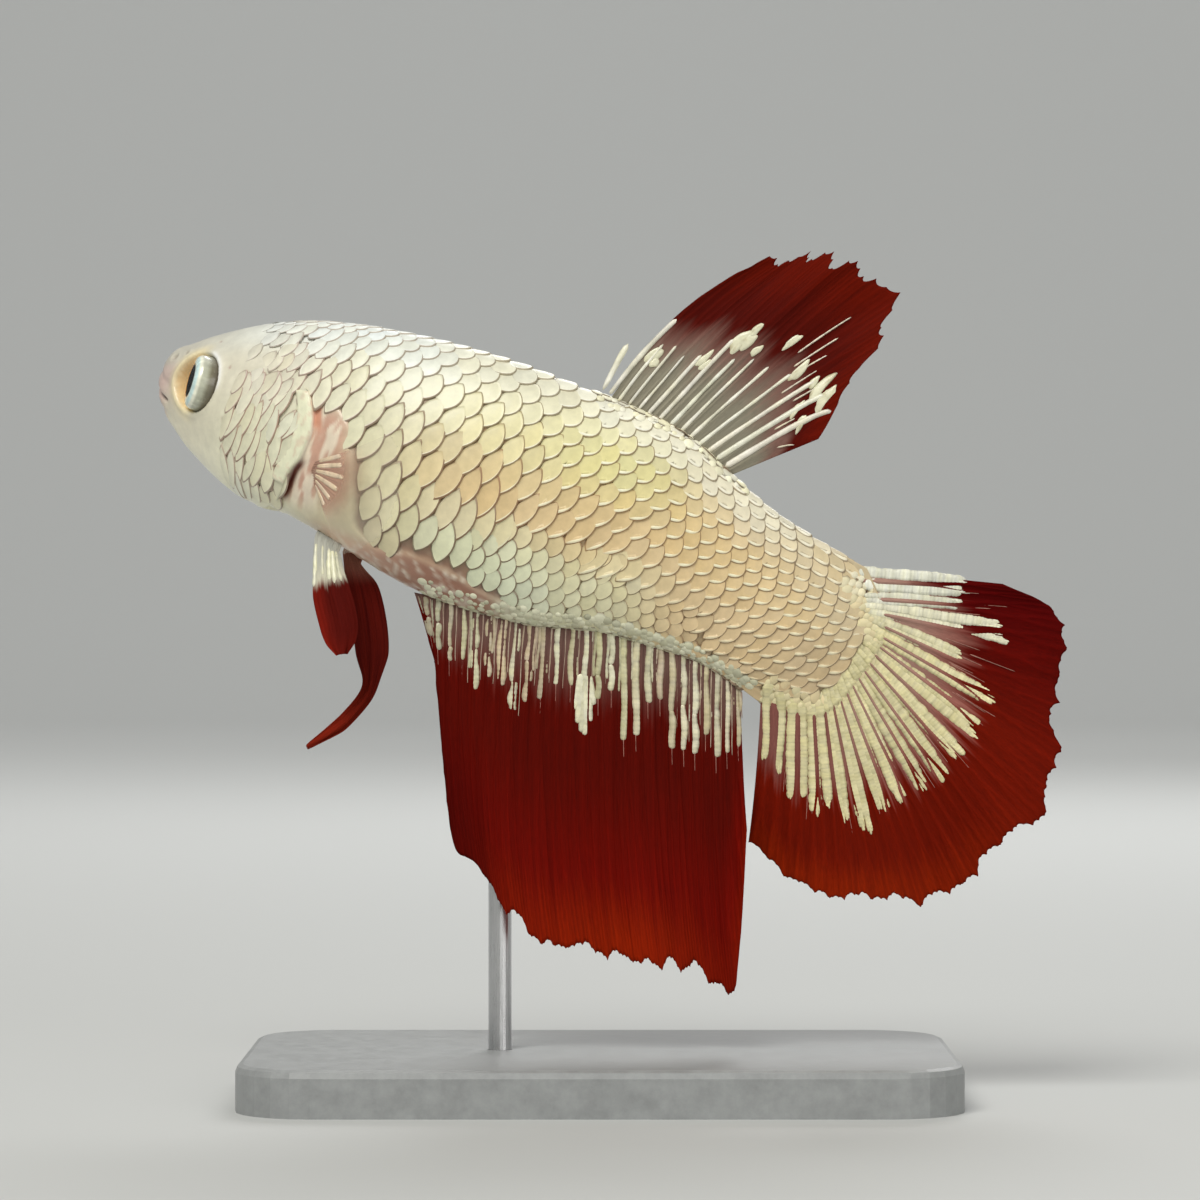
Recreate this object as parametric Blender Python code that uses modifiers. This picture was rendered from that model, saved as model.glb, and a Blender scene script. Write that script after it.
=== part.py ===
"""A life-size male betta (short-finned plakat form) on a plain display stand.

The fish is described straight, by a few named sizes, and then laid along a curved spine:
nose up, back arched, and the head turned away from the side that faces -Y.
Sizes are in millimetres and angles in degrees; the finished objects are in metres, +Z up,
with the origin at the centre of the stand's underside.
"""

import math

import bmesh
import bpy
import numpy as np
from mathutils import Matrix, Vector

MM = 0.001
GAP = 0.3  # clear space between two neighbouring pieces of the fish
SEAT_GAP = 0.05  # clear space round the rod in its two holes

# --- the fish, straight -------------------------------------------------------------------
BODY_LENGTH = 49.9  # snout to the upper corner of the tail's root
NOSE_ROUND = 2.6  # length of the rounded snout
ROOT_BULGE = 4.0  # how far the tail's root bulges back between its corners
ROOT_BULGE_FROM = 0.86

# fraction of the body length, back above the spine, belly below it, half width, edge power
# (1 is an ellipse, more pinches the back and belly to an edge)
SECTIONS = (
    (0.00, 2.45, 1.20, 1.20, 0.95),
    (0.05, 2.70, 2.90, 2.10, 0.95),
    (0.10, 3.70, 4.50, 2.80, 0.95),
    (0.20, 5.65, 6.30, 3.60, 1.00),
    (0.30, 6.85, 6.50, 3.75, 1.00),
    (0.50, 8.05, 8.10, 3.50, 1.10),
    (0.65, 8.20, 7.50, 2.90, 1.20),
    (0.75, 7.90, 6.05, 2.40, 1.20),
    (0.82, 6.75, 5.50, 2.00, 1.20),
    (0.90, 6.10, 4.80, 1.55, 1.20),
    (1.00, 6.55, 4.60, 0.90, 1.10),
)

# --- the pose -----------------------------------------------------------------------------
# fraction of the body length, nose-up pitch, turn of the head away from -Y
SPINE = (
    (0.00, 6.0, 36.0),
    (0.20, 18.0, 36.0),
    (0.35, 19.5, 22.0),
    (0.50, 22.0, 7.0),
    (0.75, 24.0, 0.0),
    (1.00, 39.5, -4.0),
)
HELD_AT = 0.64  # fraction of the body length of a point of the spine over the stand
HELD_POINT = (-2.6, -1.65, 37.8)  # where that point stands

# --- body pieces, as fractions of the body length --------------------------------------------
HEAD_END = 0.335
TRUNK_MIDDLE = 0.50
STALK_START = 0.78
RING_SIDES = 28

# --- eye, gill cover and jaw ----------------------------------------------------------------
EYE_STATION = 0.142
EYE_HEIGHT = 0.25
EYE_OUT = 2.80  # from the middle of the head to the middle of the eye
EYE_RADIUS = 1.90
EYE_DEPTH = 1.50  # half its thickness along its axis
EYE_FORWARD = 14.0  # how far its axis turns towards the snout
EYE_ROOM = 0.25  # clear space round it

GILL_FRONT = 0.195
# angle round the body from the back (180 is the belly), where the gill cover ends there
GILL_REAR = (
    (66.0, 0.285),
    (78.0, 0.306),
    (96.0, 0.323),
    (114.0, 0.319),
    (146.0, 0.296),
    (166.0, 0.272),
)
GILL_THICK = 0.55

# the lower jaw seen from the side: (from the snout, height), then down past the chin
JAW_OUTLINE = ((-1.5, 0.1), (2.6, -1.1), (4.4, -2.5), (6.2, -3.3), (6.2, -8.0), (-1.5, -8.0))

# --- fins ---------------------------------------------------------------------------------
FIN_THICK = 0.5
FIN_STEPS = 7  # along a ray

# Each row is one ray: its place along the root from 0 to 1, its lean back, how much more it
# leans at its tip than at its root, and its length.
DORSAL_ROOT = (0.63, 0.82)
DORSAL_RAYS = (
    (0.00, 4.5, 0.0, 3.1),
    (0.06, 12.0, 6.0, 4.4),
    (0.10, 22.5, 20.0, 11.8),
    (0.20, 25.0, 14.0, 14.0),
    (0.42, 23.5, 5.0, 15.6),
    (0.64, 24.5, 5.0, 16.1),
    (0.74, 28.5, 6.0, 16.2),
    (0.84, 29.5, 5.0, 13.5),
    (0.96, 30.5, 0.0, 8.8),
    (1.00, 40.0, 0.0, 5.7),
)
ANAL_ROOT = (0.505, 0.975)
ANAL_RAYS = (
    (0.00, 40.0, 0.0, 3.2),
    (0.035, 31.5, 4.0, 6.9),
    (0.07, 25.5, 6.0, 14.6),
    (0.16, 25.0, 10.0, 16.7),
    (0.26, 23.0, 10.0, 19.0),
    (0.38, 23.5, 10.0, 21.0),
    (0.56, 27.0, 8.0, 21.3),
    (0.80, 33.5, 6.0, 20.6),
    (0.93, 38.0, 6.0, 20.4),
    (1.00, 40.5, 2.0, 8.8),
)
CAUDAL_RAYS = (
    (0.00, -34.0, 0.0, 8.6),
    (0.06, -35.0, 4.0, 11.5),
    (0.12, -30.0, 3.0, 13.1),
    (0.18, -18.0, -4.0, 13.2),
    (0.25, -9.5, 0.0, 13.8),
    (0.34, 1.5, 0.0, 15.1),
    (0.50, 18.0, 3.0, 15.6),
    (0.60, 27.0, 3.0, 15.7),
    (0.80, 44.0, 3.0, 13.2),
    (0.90, 51.0, 3.0, 11.8),
    (1.00, 54.5, 3.0, 9.5),
)
PECTORAL_STATION = 0.350
PECTORAL_HEIGHT = -3.3
PECTORAL_ROOT = 2.0
PECTORAL_FLARE = 20.0  # how far it stands out from the flank
PECTORAL_RAYS = (
    (0.00, -30.0, -4.0, 6.0),
    (0.30, -12.0, 0.0, 7.4),
    (0.60, 12.0, 4.0, 7.6),
    (1.00, 46.0, 8.0, 5.0),
)

# The ventral fins are blades: where the root is, a middle line from there (back along the fish,
# height), their width along that line, and how far they spread. The right one ends in a feeler.
VENTRAL_OUT = 0.75  # from the middle of the belly to the middle of each root
VENTRAL_DROP = 0.5  # from the skin to the fin's root
VENTRAL_LEFT = {
    "station": 0.369,
    "line": ((0.0, 0.0), (0.8, -1.2), (1.8, -2.5), (3.1, -3.9), (4.2, -5.5)),
    "widths": ((0.0, 2.0), (0.3, 2.3), (0.5, 2.6), (0.8, 2.3), (1.0, 1.7)),
    "spread": 1.7,
}
VENTRAL_RIGHT = {
    "station": 0.398,
    "line": (
        (0.0, 0.0),
        (1.5, -1.3),
        (2.9, -3.1),
        (4.0, -5.0),
        (4.6, -7.0),
        (3.9, -9.2),
        (3.0, -10.6),
        (1.6, -12.3),
    ),
    "widths": ((0.0, 1.6), (0.15, 2.5), (0.4, 2.5), (0.52, 1.2), (0.6, 0.8), (0.8, 0.8), (1.0, 0.5)),
    "spread": 1.0,
}


# --- curves through named sizes ---------------------------------------------------------------
def smooth(rows, column, at):
    """The value of one column at a place between the rows, on a smooth curve through them."""
    places = [row[0] for row in rows]
    values = [row[column] for row in rows]
    at = min(max(at, places[0]), places[-1])
    i = min(max(int(np.searchsorted(places, at)) - 1, 0), len(rows) - 2)
    step = places[i + 1] - places[i]

    def slope(k):
        low, high = max(k - 1, 0), min(k + 1, len(rows) - 1)
        return (values[high] - values[low]) / (places[high] - places[low])

    t = (at - places[i]) / step
    return (
        (2 * t**3 - 3 * t**2 + 1) * values[i]
        + (t**3 - 2 * t**2 + t) * slope(i) * step
        + (3 * t**2 - 2 * t**3) * values[i + 1]
        + (t**3 - t**2) * slope(i + 1) * step
    )


def directions(fraction):
    """Towards the tail, up, and to the fish's left, at one place of the spine."""
    pitch = math.radians(smooth(SPINE, 1, fraction))
    turn = math.radians(smooth(SPINE, 2, fraction))
    up = Vector((math.sin(pitch), 0, math.cos(pitch)))
    level = Vector((math.cos(pitch), 0, -math.sin(pitch)))
    tailward = level * math.cos(turn) + Vector((0, -1, 0)) * math.sin(turn)
    return tailward, up, tailward.cross(up)


def spine_points(steps=200):
    """Points of the spine at even distances, placed so that it passes through HELD_POINT."""
    points = [Vector((0, 0, 0))]
    for i in range(steps):
        tailward = directions((i + 0.5) / steps)[0]
        points.append(points[-1] + tailward * (BODY_LENGTH / steps))
    shift = Vector(HELD_POINT) - points[round(HELD_AT * steps)]
    return [point + shift for point in points]


SPINE_POINTS = spine_points()


def posed(along, left, height):
    """The place in the posed fish of a point of the straight one, in millimetres."""
    steps = len(SPINE_POINTS) - 1
    fraction = along / BODY_LENGTH
    within = min(max(fraction, 0.0), 1.0)
    i = min(int(within * steps), steps - 1)
    on_spine = SPINE_POINTS[i].lerp(SPINE_POINTS[i + 1], within * steps - i)
    tailward, up, leftward = directions(within)
    beyond = along - within * BODY_LENGTH
    return on_spine + tailward * beyond + up * height + leftward * left


# --- the body's surface ------------------------------------------------------------------------
def section(along, angle):
    """(left, height) of the skin at a distance from the snout, angle in degrees from the back."""
    fraction = along / BODY_LENGTH
    nose = min(max(along, 0.0) / NOSE_ROUND, 1.0)
    round_off = math.sqrt(1 - (1 - nose) ** 2)
    back, belly, half_width, power = (smooth(SECTIONS, k, fraction) for k in (1, 2, 3, 4))
    up, side = math.cos(math.radians(angle)), math.sin(math.radians(angle))
    left = math.copysign(abs(side) ** power, side) * half_width * round_off
    return left, (back if up > 0 else belly) * up * round_off


def root_bulge(along, height):
    """How far the tail's root bulges back at this height."""
    reach = (along / BODY_LENGTH - ROOT_BULGE_FROM) / (1 - ROOT_BULGE_FROM)
    if reach <= 0:
        return 0.0
    tallest = smooth(SECTIONS, 1 if height > 0 else 2, 1.0)
    return ROOT_BULGE * reach**2 * max(1 - (height / tallest) ** 4, 0.0)


def skin_point(along, angle, out=0.0):
    """A point of the posed skin, or one that far outside it."""
    left, height = section(along, angle)
    if out:
        step = 2.0
        before, after = section(along, angle - step), section(along, angle + step)
        normal = Vector((before[1] - after[1], after[0] - before[0])).normalized()
        left += normal.x * out
        height += normal.y * out
    return posed(along + root_bulge(along, height), left, height)


# --- making meshes -------------------------------------------------------------------------------
def new_object(name, mesh, collection, colour, roughness=0.5, metallic=0.0):
    """An object of this mesh in a collection, with its own plain material."""
    obj = bpy.data.objects.new(name, mesh)
    collection.objects.link(obj)
    material = bpy.data.materials.new(name)
    material.use_nodes = True
    shader = material.node_tree.nodes["Principled BSDF"]
    shader.inputs["Base Color"].default_value = (*colour, 1)
    shader.inputs["Roughness"].default_value = roughness
    shader.inputs["Metallic"].default_value = metallic
    mesh.materials.append(material)
    return obj


def closed_mesh(name, rings):
    """A closed mesh lofted through rings of the same even number of points, in millimetres.

    The two ends are closed across, from each point to its mirror point in the ring.
    """
    bm = bmesh.new()
    loops = [[bm.verts.new(point * MM) for point in ring] for ring in rings]
    sides = len(loops[0])
    for first, second in zip(loops, loops[1:]):
        for k in range(sides):
            n = (k + 1) % sides
            bm.faces.new((first[k], first[n], second[n], second[k]))
    for end in (loops[0], loops[-1]):
        for k in range(sides // 2 - 1):
            bm.faces.new((end[k], end[k + 1], end[sides - 2 - k], end[sides - 1 - k]))
    bmesh.ops.recalc_face_normals(bm, faces=bm.faces)
    mesh = bpy.data.meshes.new(name)
    bm.to_mesh(mesh)
    bm.free()
    mesh.shade_smooth()
    return mesh


def sheet_mesh(name, rows):
    """An open grid of faces through rows of points, in millimetres."""
    bm = bmesh.new()
    grid = [[bm.verts.new(point * MM) for point in row] for row in rows]
    for first, second in zip(grid, grid[1:]):
        for k in range(len(first) - 1):
            bm.faces.new((first[k], first[k + 1], second[k + 1], second[k]))
    mesh = bpy.data.meshes.new(name)
    bm.to_mesh(mesh)
    bm.free()
    mesh.shade_smooth()
    return mesh


def cut(obj, cutter, operation="DIFFERENCE"):
    modifier = obj.modifiers.new(operation.title(), "BOOLEAN")
    modifier.operation = operation
    modifier.object = cutter


def hide(cutter):
    cutter.hide_render = True
    cutter.display_type = "WIRE"
    return cutter


# --- body ------------------------------------------------------------------------------------------
def body_piece(name, start, end, rings, parts, colour):
    """The body between two fractions of its length."""
    angles = [360.0 * (k + 0.5) / RING_SIDES for k in range(RING_SIDES)]
    stations = np.linspace(start * BODY_LENGTH, end * BODY_LENGTH, rings)
    if start == 0:
        # closer together where the snout is round
        stations = end * BODY_LENGTH * (1 - np.cos(np.linspace(0.09, math.pi / 2, rings)))
    mesh = closed_mesh(name, [[skin_point(s, a) for a in angles] for s in stations])
    return new_object(name, mesh, parts, colour, 0.35)


def eye_matrix(side, grow=0.0):
    """Places a unit sphere as the eye on one side (1 left, -1 right), that much bigger."""
    along = EYE_STATION * BODY_LENGTH
    centre = posed(along, side * EYE_OUT, EYE_HEIGHT)
    tailward, up, leftward = directions(EYE_STATION)
    turn = math.radians(EYE_FORWARD)
    axis = (leftward * side * math.cos(turn) - tailward * math.sin(turn)).normalized()
    across = up.cross(axis).normalized()
    columns = Matrix((across, axis.cross(across), axis)).transposed()
    size = Matrix.Diagonal((EYE_RADIUS + grow, EYE_RADIUS + grow, EYE_DEPTH + grow))
    placed = Matrix.Translation(centre) @ (columns @ size).to_4x4()
    return Matrix.Scale(MM, 4) @ placed


def eye_mesh(name, side, grow=0.0):
    bm = bmesh.new()
    bmesh.ops.create_uvsphere(bm, u_segments=20, v_segments=10, radius=1.0)
    bm.transform(eye_matrix(side, grow))
    mesh = bpy.data.meshes.new(name)
    bm.to_mesh(mesh)
    bm.free()
    mesh.shade_smooth()
    return mesh


def gill_mesh(name, side, inner, outer, grow):
    """A curved plate on the cheek, from inner to outer outside the skin, that much bigger round."""
    rows, columns = 11, 6
    ring_gap = grow * 10  # degrees round the body for that many millimetres
    along_gap = grow / BODY_LENGTH
    top, bottom = GILL_REAR[0][0] - ring_gap, GILL_REAR[-1][0] + ring_gap
    sheets = []
    for out in (inner, outer):
        sheet = []
        for angle in np.linspace(top, bottom, rows):
            rear = smooth(GILL_REAR, 1, angle) + along_gap
            fractions = np.linspace(GILL_FRONT - along_gap, rear, columns)
            sheet.append([skin_point(f * BODY_LENGTH, side * angle, out) for f in fractions])
        sheets.append(sheet)
    rings = [inner_row + outer_row[::-1] for inner_row, outer_row in zip(*sheets)]
    return closed_mesh(name, rings)


def jaw_block(name, grow):
    """The space of the lower jaw across the whole head, that much higher and longer."""
    half_width = 5.0
    joint = max(x for x, _ in JAW_OUTLINE)
    rings = []
    for left in (half_width, -half_width):
        outline = [(x + grow if x == joint else x, y + grow) for x, y in JAW_OUTLINE]
        rings.append([posed(x, left, y) for x, y in outline])
    return closed_mesh(name, rings)


def make_body(parts, cutters):
    pearl = (0.83, 0.80, 0.70)
    peach = (0.76, 0.63, 0.44)
    half = GAP / 2 / BODY_LENGTH
    head = body_piece("head", 0.0, HEAD_END - half, 16, parts, (0.80, 0.74, 0.66))
    body_piece("trunk_front", HEAD_END + half, TRUNK_MIDDLE - half, 7, parts, pearl)
    rear = body_piece("trunk_rear", TRUNK_MIDDLE + half, STALK_START - half, 11, parts, pearl)
    body_piece("tail_stalk", STALK_START + half, 1.0, 9, parts, peach)

    jaw = new_object("lower_jaw", head.data.copy(), parts, (0.78, 0.68, 0.62), 0.4)
    cut(jaw, hide(new_object("jaw_space", jaw_block("jaw_space", 0), cutters, pearl)), "INTERSECT")
    room = hide(new_object("jaw_room", jaw_block("jaw_room", GAP), cutters, pearl))
    cut(head, room)

    for word, side in (("left", 1), ("right", -1)):
        new_object(f"eye_{word}", eye_mesh("eye", side), parts, (0.78, 0.66, 0.36), 0.08)
        socket = new_object(f"eye_room_{word}", eye_mesh("room", side, EYE_ROOM), cutters, pearl)
        cut(head, hide(socket))
        plate = gill_mesh("gill_cover", side, -GILL_THICK, 0.0, 0.0)
        new_object(f"gill_cover_{word}", plate, parts, (0.80, 0.80, 0.68), 0.3)
        room = gill_mesh("gill_room", side, -GILL_THICK - GAP, 1.5, GAP)
        cut(head, hide(new_object(f"gill_room_{word}", room, cutters, pearl)))
    return rear


# --- fins --------------------------------------------------------------------------------------------
def ray_point(root, outward, back, rays, u, v, keep=1.0):
    """A point a share v along the ray at u, which leans back and bends towards its tip."""
    lean, bend, length = (smooth(rays, k, u) for k in (1, 2, 3))
    angle = math.radians(lean - bend / 2 * (1 - v**1.5))
    return root + (outward * math.cos(angle) + back * math.sin(angle)) * (length * keep * v)


def tooth(u, teeth, depth):
    """The share of its length that a ray keeps, so that the margin is ragged."""
    return 1 - depth * (0.5 - 0.5 * math.cos(2 * math.pi * teeth * u))


def dorsal_point(u, v):
    along = (DORSAL_ROOT[0] + u * (DORSAL_ROOT[1] - DORSAL_ROOT[0])) * BODY_LENGTH
    tailward, up, leftward = directions(along / BODY_LENGTH)
    root = posed(along, 0, section(along, 0)[1] + GAP)
    point = ray_point(root, up, tailward, DORSAL_RAYS, u, v, tooth(u, 7, 0.07))
    ripple = 0.35 * math.sin(14 * u + 1) + 0.9 * (u - 0.3)
    return point + leftward * (ripple * v**1.5)


def anal_point(u, v):
    along = (ANAL_ROOT[0] + u * (ANAL_ROOT[1] - ANAL_ROOT[0])) * BODY_LENGTH
    tailward, up, leftward = directions(along / BODY_LENGTH)
    root = posed(along, 0, section(along, 180)[1] - GAP)
    point = ray_point(root, -up, tailward, ANAL_RAYS, u, v, tooth(u, 12, 0.035))
    ripple = 0.5 * math.sin(17 * u - 3.2) + 0.6 * u**2
    return point + leftward * (ripple * v**1.5)


def caudal_point(u, v):
    top, bottom = section(BODY_LENGTH, 0)[1], section(BODY_LENGTH, 180)[1]
    height = top + u * (bottom - top)
    along = BODY_LENGTH + root_bulge(BODY_LENGTH, height) + GAP
    tailward, up, leftward = directions(1.0)
    root = posed(along, 0, height)
    point = ray_point(root, tailward, -up, CAUDAL_RAYS, u, v, tooth(u, 13, 0.06))
    ripple = 0.6 * math.sin(15 * u + 2.0) - 0.9 * u**2 + 0.5 * math.sin(math.pi * u)
    return point + leftward * (ripple * v**1.5)


def pectoral_point(side, u, v):
    along = PECTORAL_STATION * BODY_LENGTH
    tailward, up, leftward = directions(PECTORAL_STATION)
    outward = leftward * side
    flare = math.radians(PECTORAL_FLARE)
    away = tailward * math.cos(flare) + outward * math.sin(flare)
    height = PECTORAL_HEIGHT + (0.5 - u) * PECTORAL_ROOT
    belly = section(along, 180)[1]
    angle = math.degrees(math.acos(height / -belly))
    root = posed(along, side * (section(along, angle)[0] + GAP + FIN_THICK), height)
    point = ray_point(root, away, -up, PECTORAL_RAYS, u, v)
    return point + outward * (0.35 * math.sin(5 * u) * v**2)


def line_point(line, v):
    """A place on a smooth curve through the points of a line, v from 0 to 1, and its direction."""
    rows = [(k / (len(line) - 1), *point) for k, point in enumerate(line)]
    step = 0.02
    here = Vector((smooth(rows, 1, v), smooth(rows, 2, v)))
    low, high = max(v - step, 0), min(v + step, 1)
    ahead = Vector((smooth(rows, 1, high), smooth(rows, 2, high)))
    behind = Vector((smooth(rows, 1, low), smooth(rows, 2, low)))
    return here, (ahead - behind).normalized()


def ventral_point(blade, side, u, v):
    middle, heading = line_point(blade["line"], v)
    # along the belly at the root, square to the middle line further down
    square = min(v * 5, 1.0)
    across = Vector((1, 0)).lerp(Vector((-heading.y, heading.x)), square).normalized()
    place = middle + across * ((u - 0.5) * smooth(blade["widths"], 1, v))
    along = blade["station"] * BODY_LENGTH + place.x
    angle = 180 - math.degrees(math.asin(VENTRAL_OUT / section(along, 90)[0]))
    left, height = section(along, angle)
    out = side * (left + blade["spread"] * v)
    return posed(along, out, height - VENTRAL_DROP + place.y)


def fin(name, point, columns, parts, colour, steps=FIN_STEPS):
    """A fin as a sheet from its root to its margin, of even thickness."""
    us, vs = np.linspace(0, 1, columns), np.linspace(0, 1, steps)
    obj = new_object(name, sheet_mesh(name, [[point(u, v) for v in vs] for u in us]), parts, colour)
    solid = obj.modifiers.new("Thickness", "SOLIDIFY")
    solid.thickness = FIN_THICK * MM
    solid.offset = 0
    return obj


def make_fins(parts):
    red = (0.20, 0.008, 0.006)
    clear = (0.80, 0.76, 0.68)
    fin("dorsal_fin", dorsal_point, 29, parts, red)
    fin("anal_fin", anal_point, 41, parts, red)
    fin("caudal_fin", caudal_point, 45, parts, red)
    for word, side, blade in (("left", 1, VENTRAL_LEFT), ("right", -1, VENTRAL_RIGHT)):
        fin(f"pectoral_fin_{word}", lambda u, v, s=side: pectoral_point(s, u, v), 13, parts, clear)
        fin(
            f"ventral_fin_{word}",
            lambda u, v, b=blade, s=side: ventral_point(b, s, u, v),
            5,
            parts,
            red,
            steps=15,
        )


# --- stand ---------------------------------------------------------------------------------------------
BASE_SIZE = (46.0, 28.0, 3.0)
BASE_CORNER = 5.0
BASE_EDGE = 0.5
ROD_AT = (-6.5, 0.0)
ROD_RADIUS = 0.75
ROD_SEAT = 2.0  # how deep the rod stands in the base
ROD_TOP = 37.0  # height of the rod's top, inside the fish's flank


def cylinder(name, radius, low, high, sides=24):
    """An upright cylinder mesh at ROD_AT between two heights."""
    bm = bmesh.new()
    bmesh.ops.create_cone(
        bm,
        cap_ends=True,
        segments=sides,
        radius1=radius * MM,
        radius2=radius * MM,
        depth=(high - low) * MM,
    )
    bmesh.ops.translate(bm, verts=bm.verts, vec=Vector((*ROD_AT, (low + high) / 2)) * MM)
    mesh = bpy.data.meshes.new(name)
    bm.to_mesh(mesh)
    bm.free()
    mesh.shade_smooth()
    mesh.set_sharp_from_angle(angle=math.radians(40))
    return mesh


def base_mesh():
    """A flat slab with round corners and a softened upper edge."""
    width, depth, height = (size * MM for size in BASE_SIZE)
    bm = bmesh.new()
    bmesh.ops.create_cube(bm, size=1.0)
    bmesh.ops.scale(bm, verts=bm.verts, vec=(width, depth, height))
    bmesh.ops.translate(bm, verts=bm.verts, vec=(0, 0, height / 2))
    upright = [e for e in bm.edges if abs(e.verts[0].co.z - e.verts[1].co.z) > height / 2]
    bmesh.ops.bevel(bm, geom=upright, offset=BASE_CORNER * MM, segments=6, affect="EDGES", profile=0.5)
    upper = [e for e in bm.edges if min(v.co.z for v in e.verts) > height * 0.9]
    bmesh.ops.bevel(bm, geom=upper, offset=BASE_EDGE * MM, segments=2, affect="EDGES", profile=0.5)
    mesh = bpy.data.meshes.new("stand_base")
    bm.to_mesh(mesh)
    bm.free()
    return mesh


def make_stand(parts, cutters, flank):
    """The base, the rod, and the rod's holes in the base and in the fish's flank."""
    base = new_object("stand_base", base_mesh(), parts, (0.55, 0.55, 0.53), 0.4)
    seat = BASE_SIZE[2] - ROD_SEAT
    rod = cylinder("stand_rod", ROD_RADIUS, seat + SEAT_GAP, ROD_TOP)
    new_object("stand_rod", rod, parts, (0.62, 0.62, 0.63), 0.3, 1.0)
    hole = cylinder("rod_seat", ROD_RADIUS + SEAT_GAP, seat, BASE_SIZE[2] + 1)
    cut(base, hide(new_object("rod_seat", hole, cutters, (0.5, 0.5, 0.5))))
    socket = cylinder("rod_socket", ROD_RADIUS + SEAT_GAP, BASE_SIZE[2] + 2, ROD_TOP + SEAT_GAP)
    cut(flank, hide(new_object("rod_socket", socket, cutters, (0.5, 0.5, 0.5))))


def main():
    for obj in list(bpy.data.objects):
        bpy.data.objects.remove(obj, do_unlink=True)
    parts = bpy.data.collections.new("betta_fish")
    cutters = bpy.data.collections.new("cutters")
    for collection in (parts, cutters):
        bpy.context.scene.collection.children.link(collection)
    flank = make_body(parts, cutters)
    make_fins(parts)
    make_stand(parts, cutters, flank)


main()
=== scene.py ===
"""A life-size male betta on a display stand: skin, scales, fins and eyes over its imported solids.

The fish is described straight, as (distance from the snout, way round the body), and laid along
the same curved spine as its solids. Sizes are in millimetres and angles in degrees until a mesh
is made; the meshes are in metres, +Z up. The fish's left side faces -Y.
"""

import math

import bpy
import numpy as np
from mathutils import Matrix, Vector


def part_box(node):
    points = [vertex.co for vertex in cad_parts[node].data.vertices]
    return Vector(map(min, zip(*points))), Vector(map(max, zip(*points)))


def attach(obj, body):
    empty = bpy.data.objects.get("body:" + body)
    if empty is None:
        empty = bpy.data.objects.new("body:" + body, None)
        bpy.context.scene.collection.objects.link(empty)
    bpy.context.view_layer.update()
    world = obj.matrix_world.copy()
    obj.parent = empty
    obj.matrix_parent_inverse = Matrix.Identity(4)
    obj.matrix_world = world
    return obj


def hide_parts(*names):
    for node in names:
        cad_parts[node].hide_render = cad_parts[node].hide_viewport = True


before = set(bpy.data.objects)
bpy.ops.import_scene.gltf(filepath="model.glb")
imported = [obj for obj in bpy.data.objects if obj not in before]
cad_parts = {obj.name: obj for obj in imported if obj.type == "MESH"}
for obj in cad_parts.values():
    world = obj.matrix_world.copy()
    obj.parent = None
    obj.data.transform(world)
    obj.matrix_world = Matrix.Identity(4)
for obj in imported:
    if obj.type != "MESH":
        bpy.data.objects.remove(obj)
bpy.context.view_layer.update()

MM = 0.001
rng = np.random.default_rng(11)

# --- the fish, straight: the same sizes as its solids ---
BODY_LENGTH = 49.9
NOSE_ROUND = 2.6
ROOT_BULGE = 4.0
ROOT_BULGE_FROM = 0.86
GAP = 0.3
# fraction of the length, back, belly, half width, edge power
SECTIONS = (
    (0.00, 2.45, 1.20, 1.20, 0.95), (0.05, 2.70, 2.90, 2.10, 0.95), (0.10, 3.70, 4.50, 2.80, 0.95),
    (0.20, 5.65, 6.30, 3.60, 1.00), (0.30, 6.85, 6.50, 3.75, 1.00), (0.50, 8.05, 8.10, 3.50, 1.10),
    (0.65, 8.20, 7.50, 2.90, 1.20), (0.75, 7.90, 6.05, 2.40, 1.20), (0.82, 6.75, 5.50, 2.00, 1.20),
    (0.90, 6.10, 4.80, 1.55, 1.20), (1.00, 6.55, 4.60, 0.90, 1.10)
)
# heights of the body's end at its back and its belly
END_TOP, END_BOTTOM = SECTIONS[-1][1], -SECTIONS[-1][2]
# fraction of the length, nose-up pitch, turn of the head away from -Y
SPINE = (
    (0.00, 6.0, 36.0), (0.20, 18.0, 36.0), (0.35, 19.5, 22.0), (0.50, 22.0, 7.0), (0.75, 24.0, 0.0),
    (1.00, 39.5, -4.0)
)
EYE_ALONG = 0.142 * BODY_LENGTH
EYE_HEIGHT = 0.25
EYE_OUT = 2.80
EYE_FORWARD = 24.0
# angle round the body from the back, distance from the snout: the gill cover's free edge
GILL_EDGE = (
    (60.0, 14.3), (74.0, 14.5), (77.0, 15.2), (94.0, 16.1), (114.0, 15.95), (125.0, 15.4), (147.0, 14.75),
    (162.0, 14.0), (180.0, 12.4)
)


# --- curves and the posed body ---
def smooth(rows, column, at):
    """The value of one column at places between the rows, on a smooth curve through them."""
    x = np.array([row[0] for row in rows], float)
    y = np.array([row[column] for row in rows], float)
    at = np.clip(at, x[0], x[-1])
    i = np.clip(np.searchsorted(x, at) - 1, 0, len(x) - 2)
    k = np.arange(len(x))
    low, high = np.maximum(k - 1, 0), np.minimum(k + 1, len(x) - 1)
    slope = (y[high] - y[low]) / (x[high] - x[low])
    step = x[i + 1] - x[i]
    t = (at - x[i]) / step
    return (
        (2 * t**3 - 3 * t**2 + 1) * y[i] + (t**3 - 2 * t**2 + t) * slope[i] * step
        + (3 * t**2 - 2 * t**3) * y[i + 1] + (t**3 - t**2) * slope[i + 1] * step
    )


def ramp(x, low, high):
    """0 below low, 1 above high, smooth between."""
    t = np.clip((x - low) / (high - low), 0, 1)
    return t * t * (3 - 2 * t)


def hill(x, middle, width):
    """1 at the middle, falling off smoothly on both sides."""
    return np.exp(-(((x - middle) / width) ** 2))


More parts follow.
